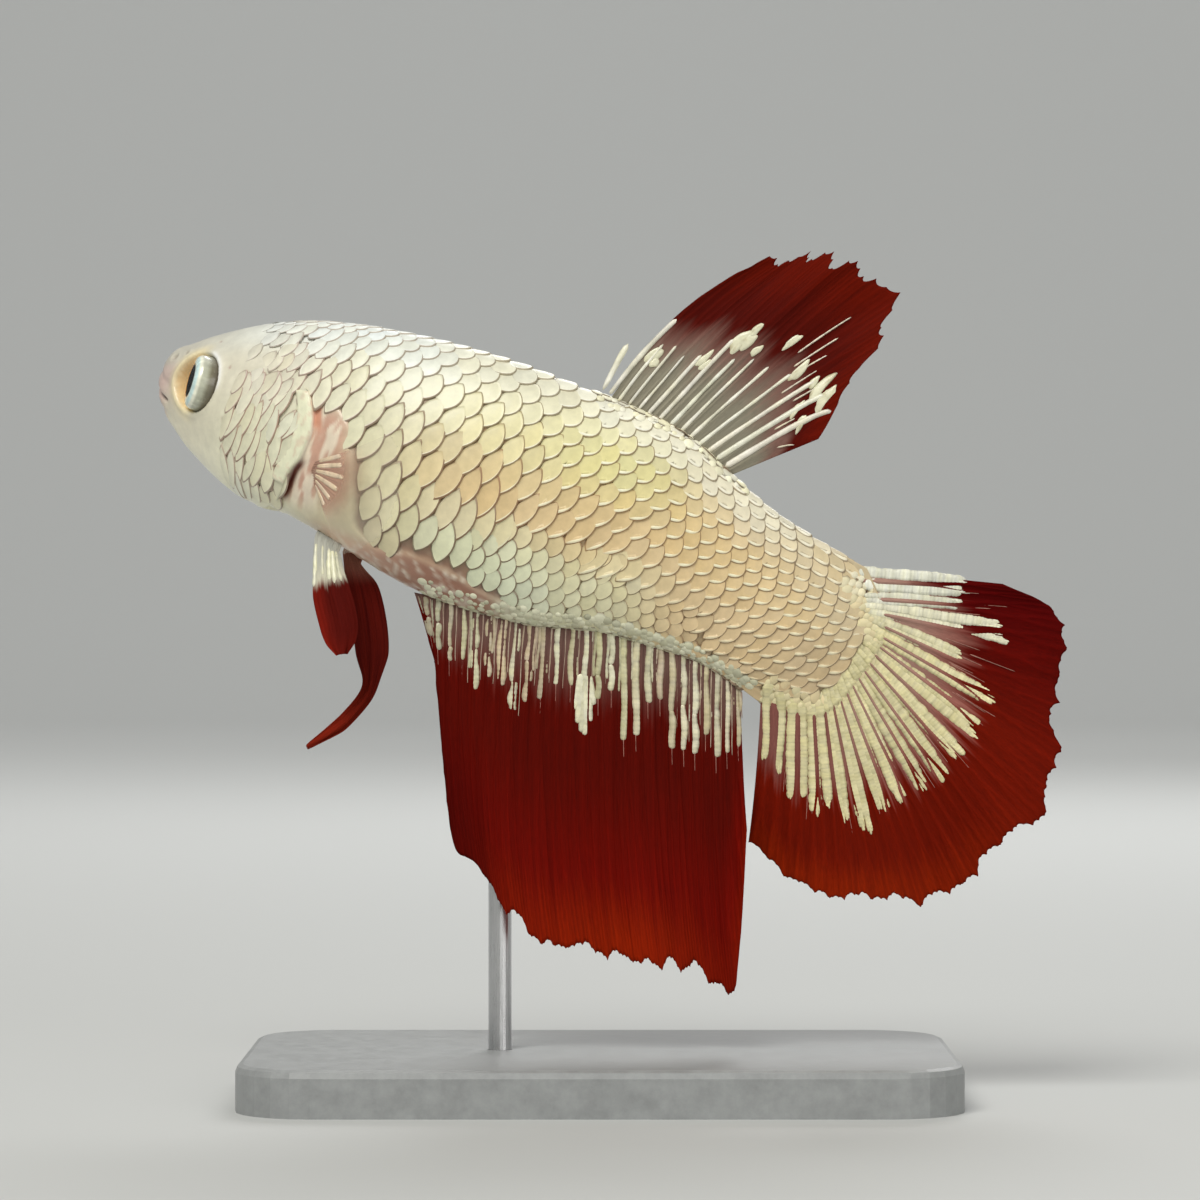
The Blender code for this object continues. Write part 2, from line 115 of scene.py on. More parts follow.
def band(x, start, full, fading, end):
    """1 from full to fading, smooth down to 0 at start and end."""
    return ramp(x, start, full) * (1 - ramp(x, fading, end))


def word_of(side):
    """The word for a side of the fish: 1 is its left, which faces -Y."""
    return "left" if side > 0 else "right"


def unit(vectors):
    """The same directions with a length of one."""
    return vectors / np.maximum(np.linalg.norm(vectors, axis=-1, keepdims=True), 1e-12)


def directions(fraction):
    """Towards the tail, up, and to the fish's left, at places of the spine."""
    pitch = np.radians(smooth(SPINE, 1, fraction))
    turn = np.radians(smooth(SPINE, 2, fraction))
    zero = np.zeros_like(pitch)
    up = np.stack((np.sin(pitch), zero, np.cos(pitch)), -1)
    tailward = np.stack((np.cos(pitch) * np.cos(turn), -np.sin(turn), -np.sin(pitch) * np.cos(turn)), -1)
    return tailward, up, np.cross(tailward, up)


STEPS = 200
SPINE_POINTS = np.vstack(
    (np.zeros(3), np.cumsum(directions((np.arange(STEPS) + 0.5) / STEPS)[0], 0) * BODY_LENGTH / STEPS)
)


def posed(along, left, height):
    """Places in the posed fish of points of the straight one."""
    along, left, height = np.broadcast_arrays(*(np.asarray(a, float) for a in (along, left, height)))
    within = np.clip(along / BODY_LENGTH, 0, 1)
    places = np.linspace(0, 1, STEPS + 1)
    on_spine = np.stack([np.interp(within, places, SPINE_POINTS[:, k]) for k in range(3)], -1)
    tailward, up, leftward = directions(within)
    beyond = along - within * BODY_LENGTH
    return (on_spine + tailward * beyond[..., None] + up * height[..., None] + leftward * left[..., None])


# the fish stands where its solids do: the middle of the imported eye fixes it
eye_low, eye_high = (np.array(corner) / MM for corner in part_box("eye_left"))
SPINE_POINTS += (eye_low + eye_high) / 2 - posed(EYE_ALONG, EYE_OUT, EYE_HEIGHT)


def section(along, angle):
    """(left, height) of the body's surface, angle in degrees from the back."""
    fraction = along / BODY_LENGTH
    nose = np.clip(along / NOSE_ROUND, 0, 1)
    round_off = np.sqrt(1 - (1 - nose) ** 2)
    back, belly, half_width, power = (smooth(SECTIONS, k, fraction) for k in (1, 2, 3, 4))
    up, side = np.cos(np.radians(angle)), np.sin(np.radians(angle))
    left = np.sign(side) * np.abs(side) ** power * half_width * round_off
    return left, np.where(up > 0, back, belly) * up * round_off


def root_bulge(along, height):
    """How far the tail's root bulges back at this height."""
    reach = np.maximum((along / BODY_LENGTH - ROOT_BULGE_FROM) / (1 - ROOT_BULGE_FROM), 0)
    tallest = np.where(height > 0, END_TOP, -END_BOTTOM)
    return ROOT_BULGE * reach**2 * np.maximum(1 - (height / tallest) ** 4, 0)


def end_reach(height):
    """How far back the curved end of the body reaches at this height."""
    return BODY_LENGTH + root_bulge(BODY_LENGTH, height)


def tail_taper(along, height):
    """The share of its width the body keeps as its end thins into the tail fin."""
    end = end_reach(height) - along - root_bulge(along, height)
    return 0.10 + 0.90 * ramp(end, -0.6, 5.0)


def under_bulge(reach, height, rounds):
    """The (s, angle) of the surface that bulges back to this reach at this height."""
    s = reach
    for _ in range(rounds):
        s = np.clip(reach - root_bulge(s, height), 30.0, BODY_LENGTH)
    back, belly = (smooth(SECTIONS, k, s / BODY_LENGTH) for k in (1, 2))
    return s, np.degrees(np.arccos(np.clip(height / np.where(height > 0, back, belly), -1, 1)))


def body_point(along, angle, out=0.0):
    """Points of the posed body's surface, or that far outside it."""
    along, angle, out = np.broadcast_arrays(*(np.asarray(a, float) for a in (along, angle, out)))
    left, height = section(along, angle)
    before, after = section(along, angle - 2), section(along, angle + 2)
    nx, ny = before[1] - after[1], after[0] - before[0]
    size = np.maximum(np.hypot(nx, ny), 1e-9)
    left = left * tail_taper(along, height) + nx / size * out
    height = height + ny / size * out
    blunt = 0.45 * (1 - ramp(along, 0.0, 2.6))
    return posed(along + root_bulge(along, height) + blunt, left, height)


# The way round the body is also a share t of the skin from the back (0) to the belly (1).
S_TABLE = np.linspace(0.02, BODY_LENGTH, 250)
A_TABLE = np.linspace(0, 180, 361)
T_TABLE = np.linspace(0, 1, 401)
_left, _height = section(S_TABLE[:, None], A_TABLE[None, :])
_arc = np.cumsum(np.hypot(np.diff(_left, axis=1), np.diff(_height, axis=1)), 1)
_arc = np.hstack((np.zeros((len(S_TABLE), 1)), _arc))
ANGLE_OF = np.array([np.interp(T_TABLE, row / row[-1], A_TABLE) for row in _arc])


def girth(s):
    """The skin from back to belly on one side."""
    return np.interp(s, S_TABLE, _arc[:, -1])


def angle_at(s, t):
    """The angle round the body at share t of the skin from back to belly."""
    s, t = np.broadcast_arrays(np.asarray(s, float), np.asarray(t, float))
    i = np.clip((s - S_TABLE[0]) / (S_TABLE[1] - S_TABLE[0]), 0, len(S_TABLE) - 1.001)
    j = np.clip(t * (len(T_TABLE) - 1), 0, len(T_TABLE) - 1.001)
    i0, j0 = i.astype(int), j.astype(int)
    a, b = i - i0, j - j0
    return (
        ANGLE_OF[i0, j0] * (1 - a) * (1 - b) + ANGLE_OF[i0 + 1, j0] * a * (1 - b)
        + ANGLE_OF[i0, j0 + 1] * (1 - a) * b + ANGLE_OF[i0 + 1, j0 + 1] * a * b
    )


TABLE = np.random.default_rng(5).uniform(-1, 1, (64, 64))


def mottle(x, y):
    """Smooth uneven noise, about -1 to 1, with features about one unit across."""
    total = 0.0
    for size, share in ((1.0, 0.65), (2.3, 0.35)):
        a, b = np.asarray(x) * size + 7.3 * size, np.asarray(y) * size + 3.1 * size
        i, j = np.floor(a).astype(int), np.floor(b).astype(int)
        fa, fb = ramp(a - i, 0, 1), ramp(b - j, 0, 1)
        near = TABLE[i % 64, j % 64] * (1 - fa) + TABLE[(i + 1) % 64, j % 64] * fa
        far = TABLE[i % 64, (j + 1) % 64] * (1 - fa) + TABLE[(i + 1) % 64, (j + 1) % 64] * fa
        total = total + share * (near * (1 - fb) + far * fb)
    return total


# --- making meshes ---
class Maker:
    """Gathers parts of one mesh: points in millimetres with a tint each, faces and their UVs."""

    def __init__(self):
        self.points, self.tints, self.faces, self.uvs = [], [], [], []
        self.count = 0

    def add(self, points, tints, faces, uvs):
        """faces is a list of (n, k) index arrays; uvs a matching list of (n, k, 2) arrays."""
        self.points.append(np.reshape(points, (-1, 3)))
        self.tints.append(np.reshape(tints, (-1, 3)))
        for face, uv in zip(faces, uvs):
            self.faces.append(face + self.count)
            self.uvs.append(uv)
        self.count += len(self.points[-1])

    def piece(self, name, material, slot, replaced=()):
        points = np.concatenate(self.points) * MM
        tints = np.clip(np.concatenate(self.tints), 0, 1)
        mesh = bpy.data.meshes.new(name)
        mesh.vertices.add(len(points))
        mesh.vertices.foreach_set("co", points.ravel())
        corners = np.concatenate([f.ravel() for f in self.faces])
        sizes = np.concatenate([np.full(len(f), f.shape[1]) for f in self.faces])
        mesh.loops.add(len(corners))
        mesh.loops.foreach_set("vertex_index", corners.astype(np.int32))
        mesh.polygons.add(len(sizes))
        starts = np.concatenate(([0], np.cumsum(sizes)[:-1]))
        mesh.polygons.foreach_set("loop_start", starts.astype(np.int32))
        mesh.polygons.foreach_set("use_smooth", np.ones(len(sizes), bool))
        mesh.update(calc_edges=True)
        layer = mesh.uv_layers.new(name="OFBake")
        layer.data.foreach_set("uv", np.concatenate([u.ravel() for u in self.uvs]))
        attribute = mesh.color_attributes.new(name="tint", type="FLOAT_COLOR", domain="POINT")
        rgba = np.hstack((tints, np.ones((len(tints), 1))))
        attribute.data.foreach_set("color", rgba.ravel())
        mesh.validate()
        mesh.materials.append(material)
        obj = bpy.data.objects.new(name, mesh)
        bpy.context.scene.collection.objects.link(obj)
        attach(obj, "root")
        if replaced:
            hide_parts(*replaced)
        return obj


def loft(maker, rings, tints, uv, closed=True):
    """A surface through rings (rows, around, 3), its ends closed from each point to its mirror.

    uv is (rows, around + 1, 2), one more place round so that the seam is a clean cut.
    """
    rows, around = rings.shape[:2]
    i, k = np.meshgrid(np.arange(rows - 1), np.arange(around), indexing="ij")
    n = (k + 1) % around
    quads = np.stack((i * around + k, i * around + n, (i + 1) * around + n, (i + 1) * around + k), -1)
    corner_uv = np.stack((uv[i, k], uv[i, k + 1], uv[i + 1, k + 1], uv[i + 1, k]), -2)
    faces, uvs = [quads.reshape(-1, 4)], [corner_uv.reshape(-1, 4, 2)]
    if closed:
        for row in (0, rows - 1):
            k = np.arange(around // 2 - 1)
            cap = np.stack((k, k + 1, around - 2 - k, around - 1 - k), -1)
            if row == 0:
                cap = cap[:, ::-1]
            faces.append(cap + row * around)
            uvs.append(uv[row, cap])
    maker.add(rings, tints, faces, uvs)


def normals_of(grid):
    """Unit normals of a grid of points (rows, columns, 3)."""
    return unit(np.cross(np.gradient(grid, axis=0), np.gradient(grid, axis=1)))


def mixed(a, b, share):
    """Colours a and b mixed by an array of shares."""
    share = np.asarray(share)[..., None]
    return np.asarray(a) * (1 - share) + np.asarray(b) * share


# --- materials ---
FINE_GRAIN = 2500.0


def new_material(name, **numbers):
    """A node material, its tree and its shader, with numbers set on the shader's own sockets."""
    material = bpy.data.materials.new(name)
    material.use_nodes = True
    shader = material.node_tree.nodes["Principled BSDF"]
    for socket, value in numbers.items():
        shader.inputs[socket.replace("_", " ")].default_value = value
    return material, material.node_tree, shader


def node(tree, kind, links=(), **numbers):
    """A node with numbers set on its sockets; links are pairs of an output and a socket's name."""
    made = tree.nodes.new("ShaderNode" + kind)
    for socket, value in numbers.items():
        made.inputs[socket.replace("_", " ")].default_value = value
    for output, socket in links:
        tree.links.new(output, made.inputs[socket])
    return made


def spread(tree, noise, low, high, start=0.3, end=0.7):
    """The middle of a noise stretched over low to high."""
    link = (noise.outputs["Fac"], "Value")
    span = node(tree, "MapRange", [link], From_Min=start, From_Max=end, To_Min=low, To_Max=high)
    return span.outputs["Result"]


def attribute_node(tree, name):
    """A node that reads one of the mesh's own attributes."""
    made = node(tree, "Attribute")
    made.attribute_name = name
    return made


def raise_noise(tree, shader, noise, strength, distance):
    """The noise as fine relief of the surface."""
    relief = node(tree, "Bump", [(noise.outputs["Fac"], "Height")], Strength=strength, Distance=distance)
    tree.links.new(relief.outputs["Normal"], shader.inputs["Normal"])


def living(
    name, rough, grain=1.0, speckle=0.12, bump=0.25, coat=0.3, specular=0.5, streaks=None, cover=False
):
    """A wet surface whose colour is the mesh's tint, broken up by noise.

    streaks stretches the noise along the rays of a fin, as (across, along) of the UV map. With
    cover, the mesh's own cover makes it see-through.
    """
    material, tree, shader = (
        new_material(name, Coat_Weight=coat, Coat_Roughness=0.12, Specular_IOR_Level=specular)
    )
    place = node(tree, "TexCoord")
    source, fine_grain = place.outputs["Object"], FINE_GRAIN
    if streaks:
        stretch = node(tree, "Mapping", [(place.outputs["UV"], "Vector")], Scale=(*streaks, 1))
        source, fine_grain = stretch.outputs["Vector"], grain
    blotch = node(tree, "TexNoise", [(source, "Vector")], Scale=grain, Detail=4.0, Roughness=0.6)
    colour = node(tree, "VectorMath")
    colour.operation = "SCALE"
    tree.links.new(attribute_node(tree, "tint").outputs["Color"], colour.inputs[0])
    tree.links.new(spread(tree, blotch, 1 - speckle, 1 + speckle), colour.inputs["Scale"])
    tree.links.new(colour.outputs["Vector"], shader.inputs["Base Color"])
    tree.links.new(spread(tree, blotch, *rough), shader.inputs["Roughness"])
    fine = node(tree, "TexNoise", [(source, "Vector")], Scale=fine_grain, Detail=3.0, Roughness=0.55)
    raise_noise(tree, shader, fine, bump, 0.00004)
    if cover:
        tree.links.new(attribute_node(tree, "cover").outputs["Fac"], shader.inputs["Alpha"])
    return material


def glass(name, alpha, rough):
    """A clear shell with a faint unevenness of its gloss."""
    material, tree, shader = (
        new_material(name, Base_Color=(0.95, 0.97, 0.95, 1), Alpha=alpha, Specular_IOR_Level=0.4)
    )
    place = node(tree, "TexCoord")
    noise = node(tree, "TexNoise", [(place.outputs["Object"], "Vector")], Scale=1500.0, Detail=2.0)
    tree.links.new(spread(tree, noise, rough * 0.9, rough, 0, 1), shader.inputs["Roughness"])
    return material


def stand_material(name, colour, rough, metallic, grain, stretch, bump):
    """A smooth painted or brushed surface, its noise stretched along the part."""
    material, tree, shader = new_material(name, Metallic=metallic)
    place = node(tree, "TexCoord")
    mapping = node(tree, "Mapping", [(place.outputs["Object"], "Vector")], Scale=stretch)
    source = (mapping.outputs["Vector"], "Vector")
    noise = node(tree, "TexNoise", [source], Scale=grain, Detail=6.0, Roughness=0.65)
    shades = node(tree, "ValToRGB", [(noise.outputs["Fac"], "Fac")])
    for element, at, share in zip(shades.color_ramp.elements, (0.3, 0.7), (0.86, 1.12)):
        element.position = at
        element.color = (*[min(c * share, 1) for c in colour], 1)
    tree.links.new(shades.outputs["Color"], shader.inputs["Base Color"])
    tree.links.new(spread(tree, noise, *rough), shader.inputs["Roughness"])
    raise_noise(tree, shader, noise, bump, 0.00005)
    return material


# --- the body's colours ---
# fraction of the length, share of the way round: skin or scale, a scale's rim, the line behind it
# the rows along the back are whiter, partly the fish's own colour and partly painted light from above; a
# rim colour is a pale edge with a painted highlight, and a line colour is a pigment line, on the rear half
# with painted shade
PLACES = (
    (0.00, 0.50, (0.60, 0.46, 0.41), (0.60, 0.46, 0.41), (0.40, 0.28, 0.24)),
    (0.04, 0.15, (0.58, 0.54, 0.44), (0.58, 0.54, 0.44), (0.45, 0.38, 0.30)),
    (0.06, 0.90, (0.95, 0.88, 0.66), (0.95, 0.88, 0.66), (0.45, 0.34, 0.26)),
    (0.12, 0.12, (0.66, 0.65, 0.55), (0.70, 0.69, 0.60), (0.48, 0.42, 0.35)),
    (0.14, 0.62, (0.72, 0.68, 0.53), (0.74, 0.68, 0.56), (0.48, 0.36, 0.28)),
    (0.16, 0.95, (0.98, 0.95, 0.74), (0.98, 0.95, 0.74), (0.48, 0.36, 0.28)),
    (0.22, 0.10, (0.82, 0.85, 0.79), (0.84, 0.86, 0.81), (0.52, 0.46, 0.40)),
    (0.22, 0.38, (0.73, 0.69, 0.55), (0.76, 0.68, 0.58), (0.46, 0.34, 0.28)),
    (0.26, 0.65, (0.76, 0.75, 0.56), (0.70, 0.60, 0.48), (0.42, 0.28, 0.20)),
    (0.28, 0.90, (0.84, 0.82, 0.60), (0.80, 0.77, 0.58), (0.46, 0.38, 0.30)),
    (0.36, 0.10, (0.79, 0.83, 0.78), (0.85, 0.86, 0.82), (0.48, 0.42, 0.34)),
    (0.38, 0.35, (0.75, 0.73, 0.54), (0.82, 0.74, 0.62), (0.36, 0.27, 0.19)),
    (0.42, 0.62, (0.73, 0.70, 0.46), (0.78, 0.68, 0.50), (0.25, 0.17, 0.10)),
    (0.40, 0.84, (0.76, 0.69, 0.44), (0.72, 0.66, 0.44), (0.25, 0.18, 0.12)),
    (0.40, 0.98, (0.40, 0.27, 0.19), (0.42, 0.30, 0.22), (0.24, 0.14, 0.10)),
    (0.52, 0.10, (0.76, 0.75, 0.61), (0.90, 0.88, 0.74), (0.46, 0.40, 0.28)),
    (0.54, 0.32, (0.77, 0.72, 0.42), (0.98, 0.94, 0.72), (0.44, 0.34, 0.18)),
    (0.54, 0.54, (0.71, 0.51, 0.26), (1.0, 0.90, 0.62), (0.40, 0.22, 0.11)),
    (0.56, 0.76, (0.73, 0.76, 0.52), (0.80, 0.79, 0.56), (0.28, 0.21, 0.13)),
    (0.58, 0.95, (0.64, 0.68, 0.50), (0.70, 0.69, 0.52), (0.20, 0.14, 0.10)),
    (0.68, 0.05, (0.86, 0.84, 0.70), (0.92, 0.91, 0.78), (0.44, 0.38, 0.26)),
    (0.68, 0.28, (0.72, 0.67, 0.30), (1.0, 0.98, 0.74), (0.46, 0.32, 0.15)),
    (0.70, 0.52, (0.68, 0.50, 0.26), (1.0, 0.92, 0.64), (0.44, 0.26, 0.12)),
    (0.72, 0.80, (0.74, 0.71, 0.47), (0.90, 0.86, 0.62), (0.42, 0.34, 0.20)),
    (0.84, 0.06, (0.80, 0.76, 0.60), (0.92, 0.88, 0.72), (0.44, 0.36, 0.24)),
    (0.84, 0.35, (0.70, 0.52, 0.26), (1.0, 0.95, 0.68), (0.44, 0.28, 0.14)),
    (0.86, 0.75, (0.71, 0.53, 0.29), (0.98, 0.86, 0.58), (0.40, 0.26, 0.14)),
    (0.98, 0.20, (0.64, 0.51, 0.30), (0.98, 0.90, 0.66), (0.40, 0.30, 0.19)),
    (0.98, 0.70, (0.60, 0.45, 0.25), (0.98, 0.88, 0.60), (0.38, 0.27, 0.16))
)
# colours of the head's features
LIP = (0.62, 0.46, 0.40)
# painted shade: the near-black of the mouth's slit
MOUTH = (0.10, 0.05, 0.04)
AXIL = (0.56, 0.30, 0.22)
SLIT_UPPER = (0.60, 0.27, 0.17)
SLIT_LOWER = (0.16, 0.035, 0.02)
OPERCLE = (0.84, 0.84, 0.61)


def body_colour(s, t, column=2):
    """The colour of skin and scales (2), scale rims (3) or the lines behind them (4)."""
    f = np.asarray(s) / BODY_LENGTH
    total, weight = 0.0, 0.0
    for place in PLACES:
        w = np.exp(-(((f - place[0]) / 0.075) ** 2) - ((t - place[1]) / 0.13) ** 2) + 1e-9
        total = total + w[..., None] * np.array(place[column])
        weight = weight + w
    return total / weight[..., None]


# --- features of the head, in (s, angle, height) ---
MOUTH_SLOPE = 0.40
MOUTH_CORNER = 3.07
MOUTH_DROP = 0.05
# the built eye sits a little forward of, inside and below the middle of its solid, and is turned
EYE_SET_FORWARD, EYE_SET_IN, EYE_SET_DOWN = 0.78, 0.16, 0.10
EYE_TURN = EYE_FORWARD + 15.0
# share of the way round, distance from the snout where the body's scales begin
SCALES_FROM = (
    (0.00, 9.0), (0.15, 9.0), (0.30, 9.8), (0.38, 13.5), (0.42, 16.6), (0.49, 18.5), (0.54, 18.9),
    (0.67, 19.7), (0.75, 20.2), (0.83, 20.6), (0.88, 22.0), (1.00, 24.0)
)
# distance from the snout, share of the way round below which the belly has no scales
SCALES_TO = (
    (19.0, 0.88), (21.9, 0.852), (23.4, 0.822), (24.5, 0.812), (26.5, 0.815), (27.8, 0.832), (29.1, 0.856),
    (32.0, 0.885), (50.0, 0.900)
)
# angle round the body, distance from the snout: the groove in front of the gill cover
CHEEK_GROOVE = ((84.0, 9.4), (100.0, 10.6), (113.0, 11.1), (139.0, 11.65), (165.0, 11.5), (180.0, 11.3))


def eye_frame(side):
    """Centre and unit directions (across, up, out) of an eye; side is 1 for the left."""
    centre = posed(EYE_ALONG - EYE_SET_FORWARD, side * (EYE_OUT - EYE_SET_IN), EYE_HEIGHT - EYE_SET_DOWN)
    tailward, up, leftward = directions(np.array(EYE_ALONG / BODY_LENGTH))
    turn = math.radians(EYE_TURN)
    out = leftward * side * math.cos(turn) - tailward * math.sin(turn)
    across = unit(np.cross(up, out))
    return centre, across, np.cross(out, across), out


def scaled(s, t):
    """How much of the skin is covered by scales, 0 to 1."""
    behind_gill = s - smooth(GILL_EDGE, 1, angle_at(s, t))
    start, stop = smooth(SCALES_FROM, 1, t), smooth(SCALES_TO, 1, s)
    body = ramp(s, start - 0.4, start + 0.1) * (1 - ramp(t, stop + 0.01, stop + 0.035))
    flap = (t > 0.42) & (t < 0.80) & (behind_gill > -1.05)
    cheek = ramp(s, 9.2, 10.6) * band(t, 0.33, 0.42, 0.90, 0.97) * (behind_gill < 0) * ~flap
    return np.clip(np.maximum(body, cheek), 0, 1)


def settled(s, t):
    """0 where the foremost scales of the nape begin, 1 where scales have their full relief."""
    begin = smooth(SCALES_FROM, 1, t)
    return np.maximum(ramp(s, begin - 0.5, begin + 4.5), ramp(t, 0.33, 0.40))


def skin_relief(s, t, angle, height, place, side):
    """How far the skin stands out from the plain body, and its colour."""
    covered = scaled(s, t)
    look = skin_under_scales(s, t, covered)
    look = bare_belly(s, t, *look)
    look = mouth(s, height, *look)
    look = nostrils_and_pores(s, angle, *look)
    look = cheek_and_throat(s, angle, *look)
    look = eye_socket(place, side, *look)
    return gill_cover_edge(s, t, angle, covered, *look)


def skin_under_scales(s, t, covered):
    """Darker skin, a little lower, that shows between the scales."""
    warm = hill(s, 27.5, 4.5) * hill(t, 0.56, 0.24)
    between = mixed(body_colour(s, t, 4) * 1.1, (0.40, 0.17, 0.09), warm)
    between = mixed(between, body_colour(s, t) * 0.75, 0.85 * ramp(s, 31.0, 36.0))
    shown = covered * ramp(s, 16.5, 20.0) * (1 - 0.7 * ramp(s, 44.5, 47.0))
    tint = mixed(body_colour(s, t), between, shown)
    return -0.20 * covered * (0.12 + 0.88 * settled(s, t)), tint


def bare_belly(s, t, out, tint):
    """Bare pinkish skin under the belly, with pale flecks."""
    stop = smooth(SCALES_TO, 1, s)
    bare = band(s, 16.0, 20.0, 29.0, 33.0) * ramp(t, stop - 0.02, stop + 0.05)
    flecks = ramp(mottle(s * 3.2, t * 50.0), 0.05, 0.5)
    ground = mixed((0.60, 0.38, 0.27), (0.34, 0.16, 0.10), ramp(s, 20.0, 26.0))
    tint = mixed(tint, mixed(ground, (0.72, 0.64, 0.52), 0.75 * flecks), bare)
    return out + 0.05 * bare * flecks, tint


def mouth(s, height, out, tint):
    """A slit with lips, on a plane across the snout; the slit is painted near-black as shade."""
    off = (height + MOUTH_DROP + MOUTH_SLOPE * s) / math.hypot(1, MOUTH_SLOPE)
    at_mouth = 1 - ramp(s, MOUTH_CORNER - 0.35, MOUTH_CORNER + 0.15)
    lips = at_mouth * (hill(off, 0.42, 0.30) + 0.9 * hill(off, -0.36, 0.26))
    out = out + 0.07 * lips - 0.24 * at_mouth * hill(off, 0, 0.12)
    out = out - 0.07 * (1 - ramp(s, 2.4, 3.6)) * (hill(off, 1.05, 0.22) + hill(off, -0.85, 0.2))
    near_lips = (1 - ramp(np.abs(off), 0.9, 1.7)) * (1 - ramp(s, 1.8, 3.2))
    tint = mixed(tint, LIP, 0.85 * near_lips)
    return out, mixed(tint, MOUTH, 0.95 * at_mouth * hill(off, 0, 0.10))


def nostrils_and_pores(s, angle, out, tint):
    """Pits, the larger with a raised edge, each darkened inside with painted shade."""
    # distance from the snout, angle round the body, radius, depth
    for where, round_at, size, depth in ((2.75, 52.0, 0.20, 0.22), (3.9, 50.0, 0.13, 0.10)):
        far = np.hypot(s - where, np.radians(angle - round_at) * 2.6)
        out = out - depth * hill(far, 0, size) + 0.05 * hill(far, size * 2.0, size * 0.7)
        tint = mixed(tint, (0.2, 0.13, 0.1), 0.7 * hill(far, 0, size * 0.9))
    for where, round_at in ((8.85, 73.0), (10.25, 78.2), (6.6, 44.0), (11.6, 96.0), (9.6, 108.0)):
        pore = hill(np.hypot(s - where, np.radians(angle - round_at) * 4.6), 0, 0.11)
        out = out - 0.06 * pore
        tint = mixed(tint, (0.36, 0.17, 0.14), 0.65 * pore)
    return out, tint


def cheek_and_throat(s, angle, out, tint):
    """A groove along the cheek bone and a fold under the throat; the groove is darkened pinkish as painted
    shade.
    """
    groove = smooth(CHEEK_GROOVE, 1, angle)
    along_groove = band(angle, 84, 100, 168, 179)
    out = out - along_groove * (0.09 * hill(s, groove, 0.30) - 0.05 * hill(s, groove + 0.7, 0.5))
    tint = mixed(tint, (0.56, 0.36, 0.28), 0.5 * along_groove * hill(s, groove, 0.20))
    throat = ramp(angle, 150, 165) * band(s, 4.5, 6.5, 11.0, 13.0)
    return out - 0.10 * throat * hill(angle, 171, 3.0), tint


def eye_socket(place, side, out, tint):
    """The hollow the eye sits in, its raised rim, and the golden ring in front of it; the hollow is painted
    dark as shade, and the rim's upper rear has a painted highlight.
    """
    centre, across, up, outward = eye_frame(side)
    rel = place - centre
    depth = rel @ outward
    radius = np.linalg.norm(rel - depth[..., None] * outward, axis=-1)
    beside = np.where(depth > -1.2, 1.0, 0.0)
    front = -(rel @ across) * side  # towards the snout
    out = out + beside * (0.10 * hill(radius, 2.22, 0.20) - 1.3 * (1 - ramp(radius, 1.78, 2.02)))
    arc = hill(radius, 2.14, 0.16) * ramp(-front, 0.0, 0.8) * ramp(rel @ up, -0.6, 0.4)
    # pale skin and the golden ring in front, painted shade in the hollow, and a painted highlight (arc) on
    # the rim's upper rear
    for colour, share in (
        ((0.88, 0.76, 0.46), 0.75 * (1 - ramp(radius, 2.1, 3.0)) * ramp(front, -0.6, 0.9)),
        ((0.86, 0.56, 0.20), 0.5 * (1 - ramp(radius, 1.85, 2.15)) * ramp(front, 0.0, 1.0)),
        ((0.14, 0.11, 0.08), (1 - ramp(radius, 1.80, 1.95)) * (1 - 0.8 * ramp(front, -0.3, 0.8))),
        ((1.0, 1.0, 0.96), arc)
    ):
        tint = mixed(tint, colour, beside * share)
    return out, tint


def gill_cover_edge(s, t, angle, covered, out, tint):
    """The free edge of the gill cover, the pearly flap on it, and what shows behind it."""
    d = s - smooth(GILL_EDGE, 1, angle)
    free = ramp(angle, 68, 78)
    sunk = 0.20 + 0.42 * hill(angle, 133, 15) + 0.16 * hill(angle, 84, 9)
    drop = -sunk * np.exp(-np.maximum(d, 0) / 0.9)
    out = out + free * np.where(d <= 0.02, 0.14 * hill(d, -0.25, 0.45), drop)
    flap = free * ramp(d, -1.35, -0.9) * (d <= 0.02) * (1 - ramp(angle, 128, 145))
    fine = mottle(s * 3.5, t * 42.0)
    pearly = mixed(OPERCLE, (0.72, 0.52, 0.38), 0.55 * ramp(fine, 0.1, 0.5))
    tint = mixed(tint, pearly, 0.85 * flap)
    behind = (d > 0.02) * free
    lines = mottle(s * 2.8 + 7.0 * t, t * 9.0)
    out = out + 0.03 * flap * fine + 0.05 * behind * lines * (1 - ramp(d, 2.2, 3.6)) * (1 - covered)
    axil = mixed(AXIL, (0.78, 0.66, 0.52), ramp(lines, -0.15, 0.35))
    for colour, share in (
        (axil, 0.9 * (1 - ramp(d, 1.6, 3.4)) * band(angle, 74, 90, 135, 160)),
        (SLIT_UPPER, 0.95 * (1 - ramp(d, 0.45, 0.75)) * band(angle, 72, 77, 92, 99)),
        (SLIT_LOWER, (1 - ramp(d, 0.22, 0.62)) * band(angle, 112, 120, 146, 156))
    ):
        tint = mixed(tint, colour, behind * share)
    return out, tint


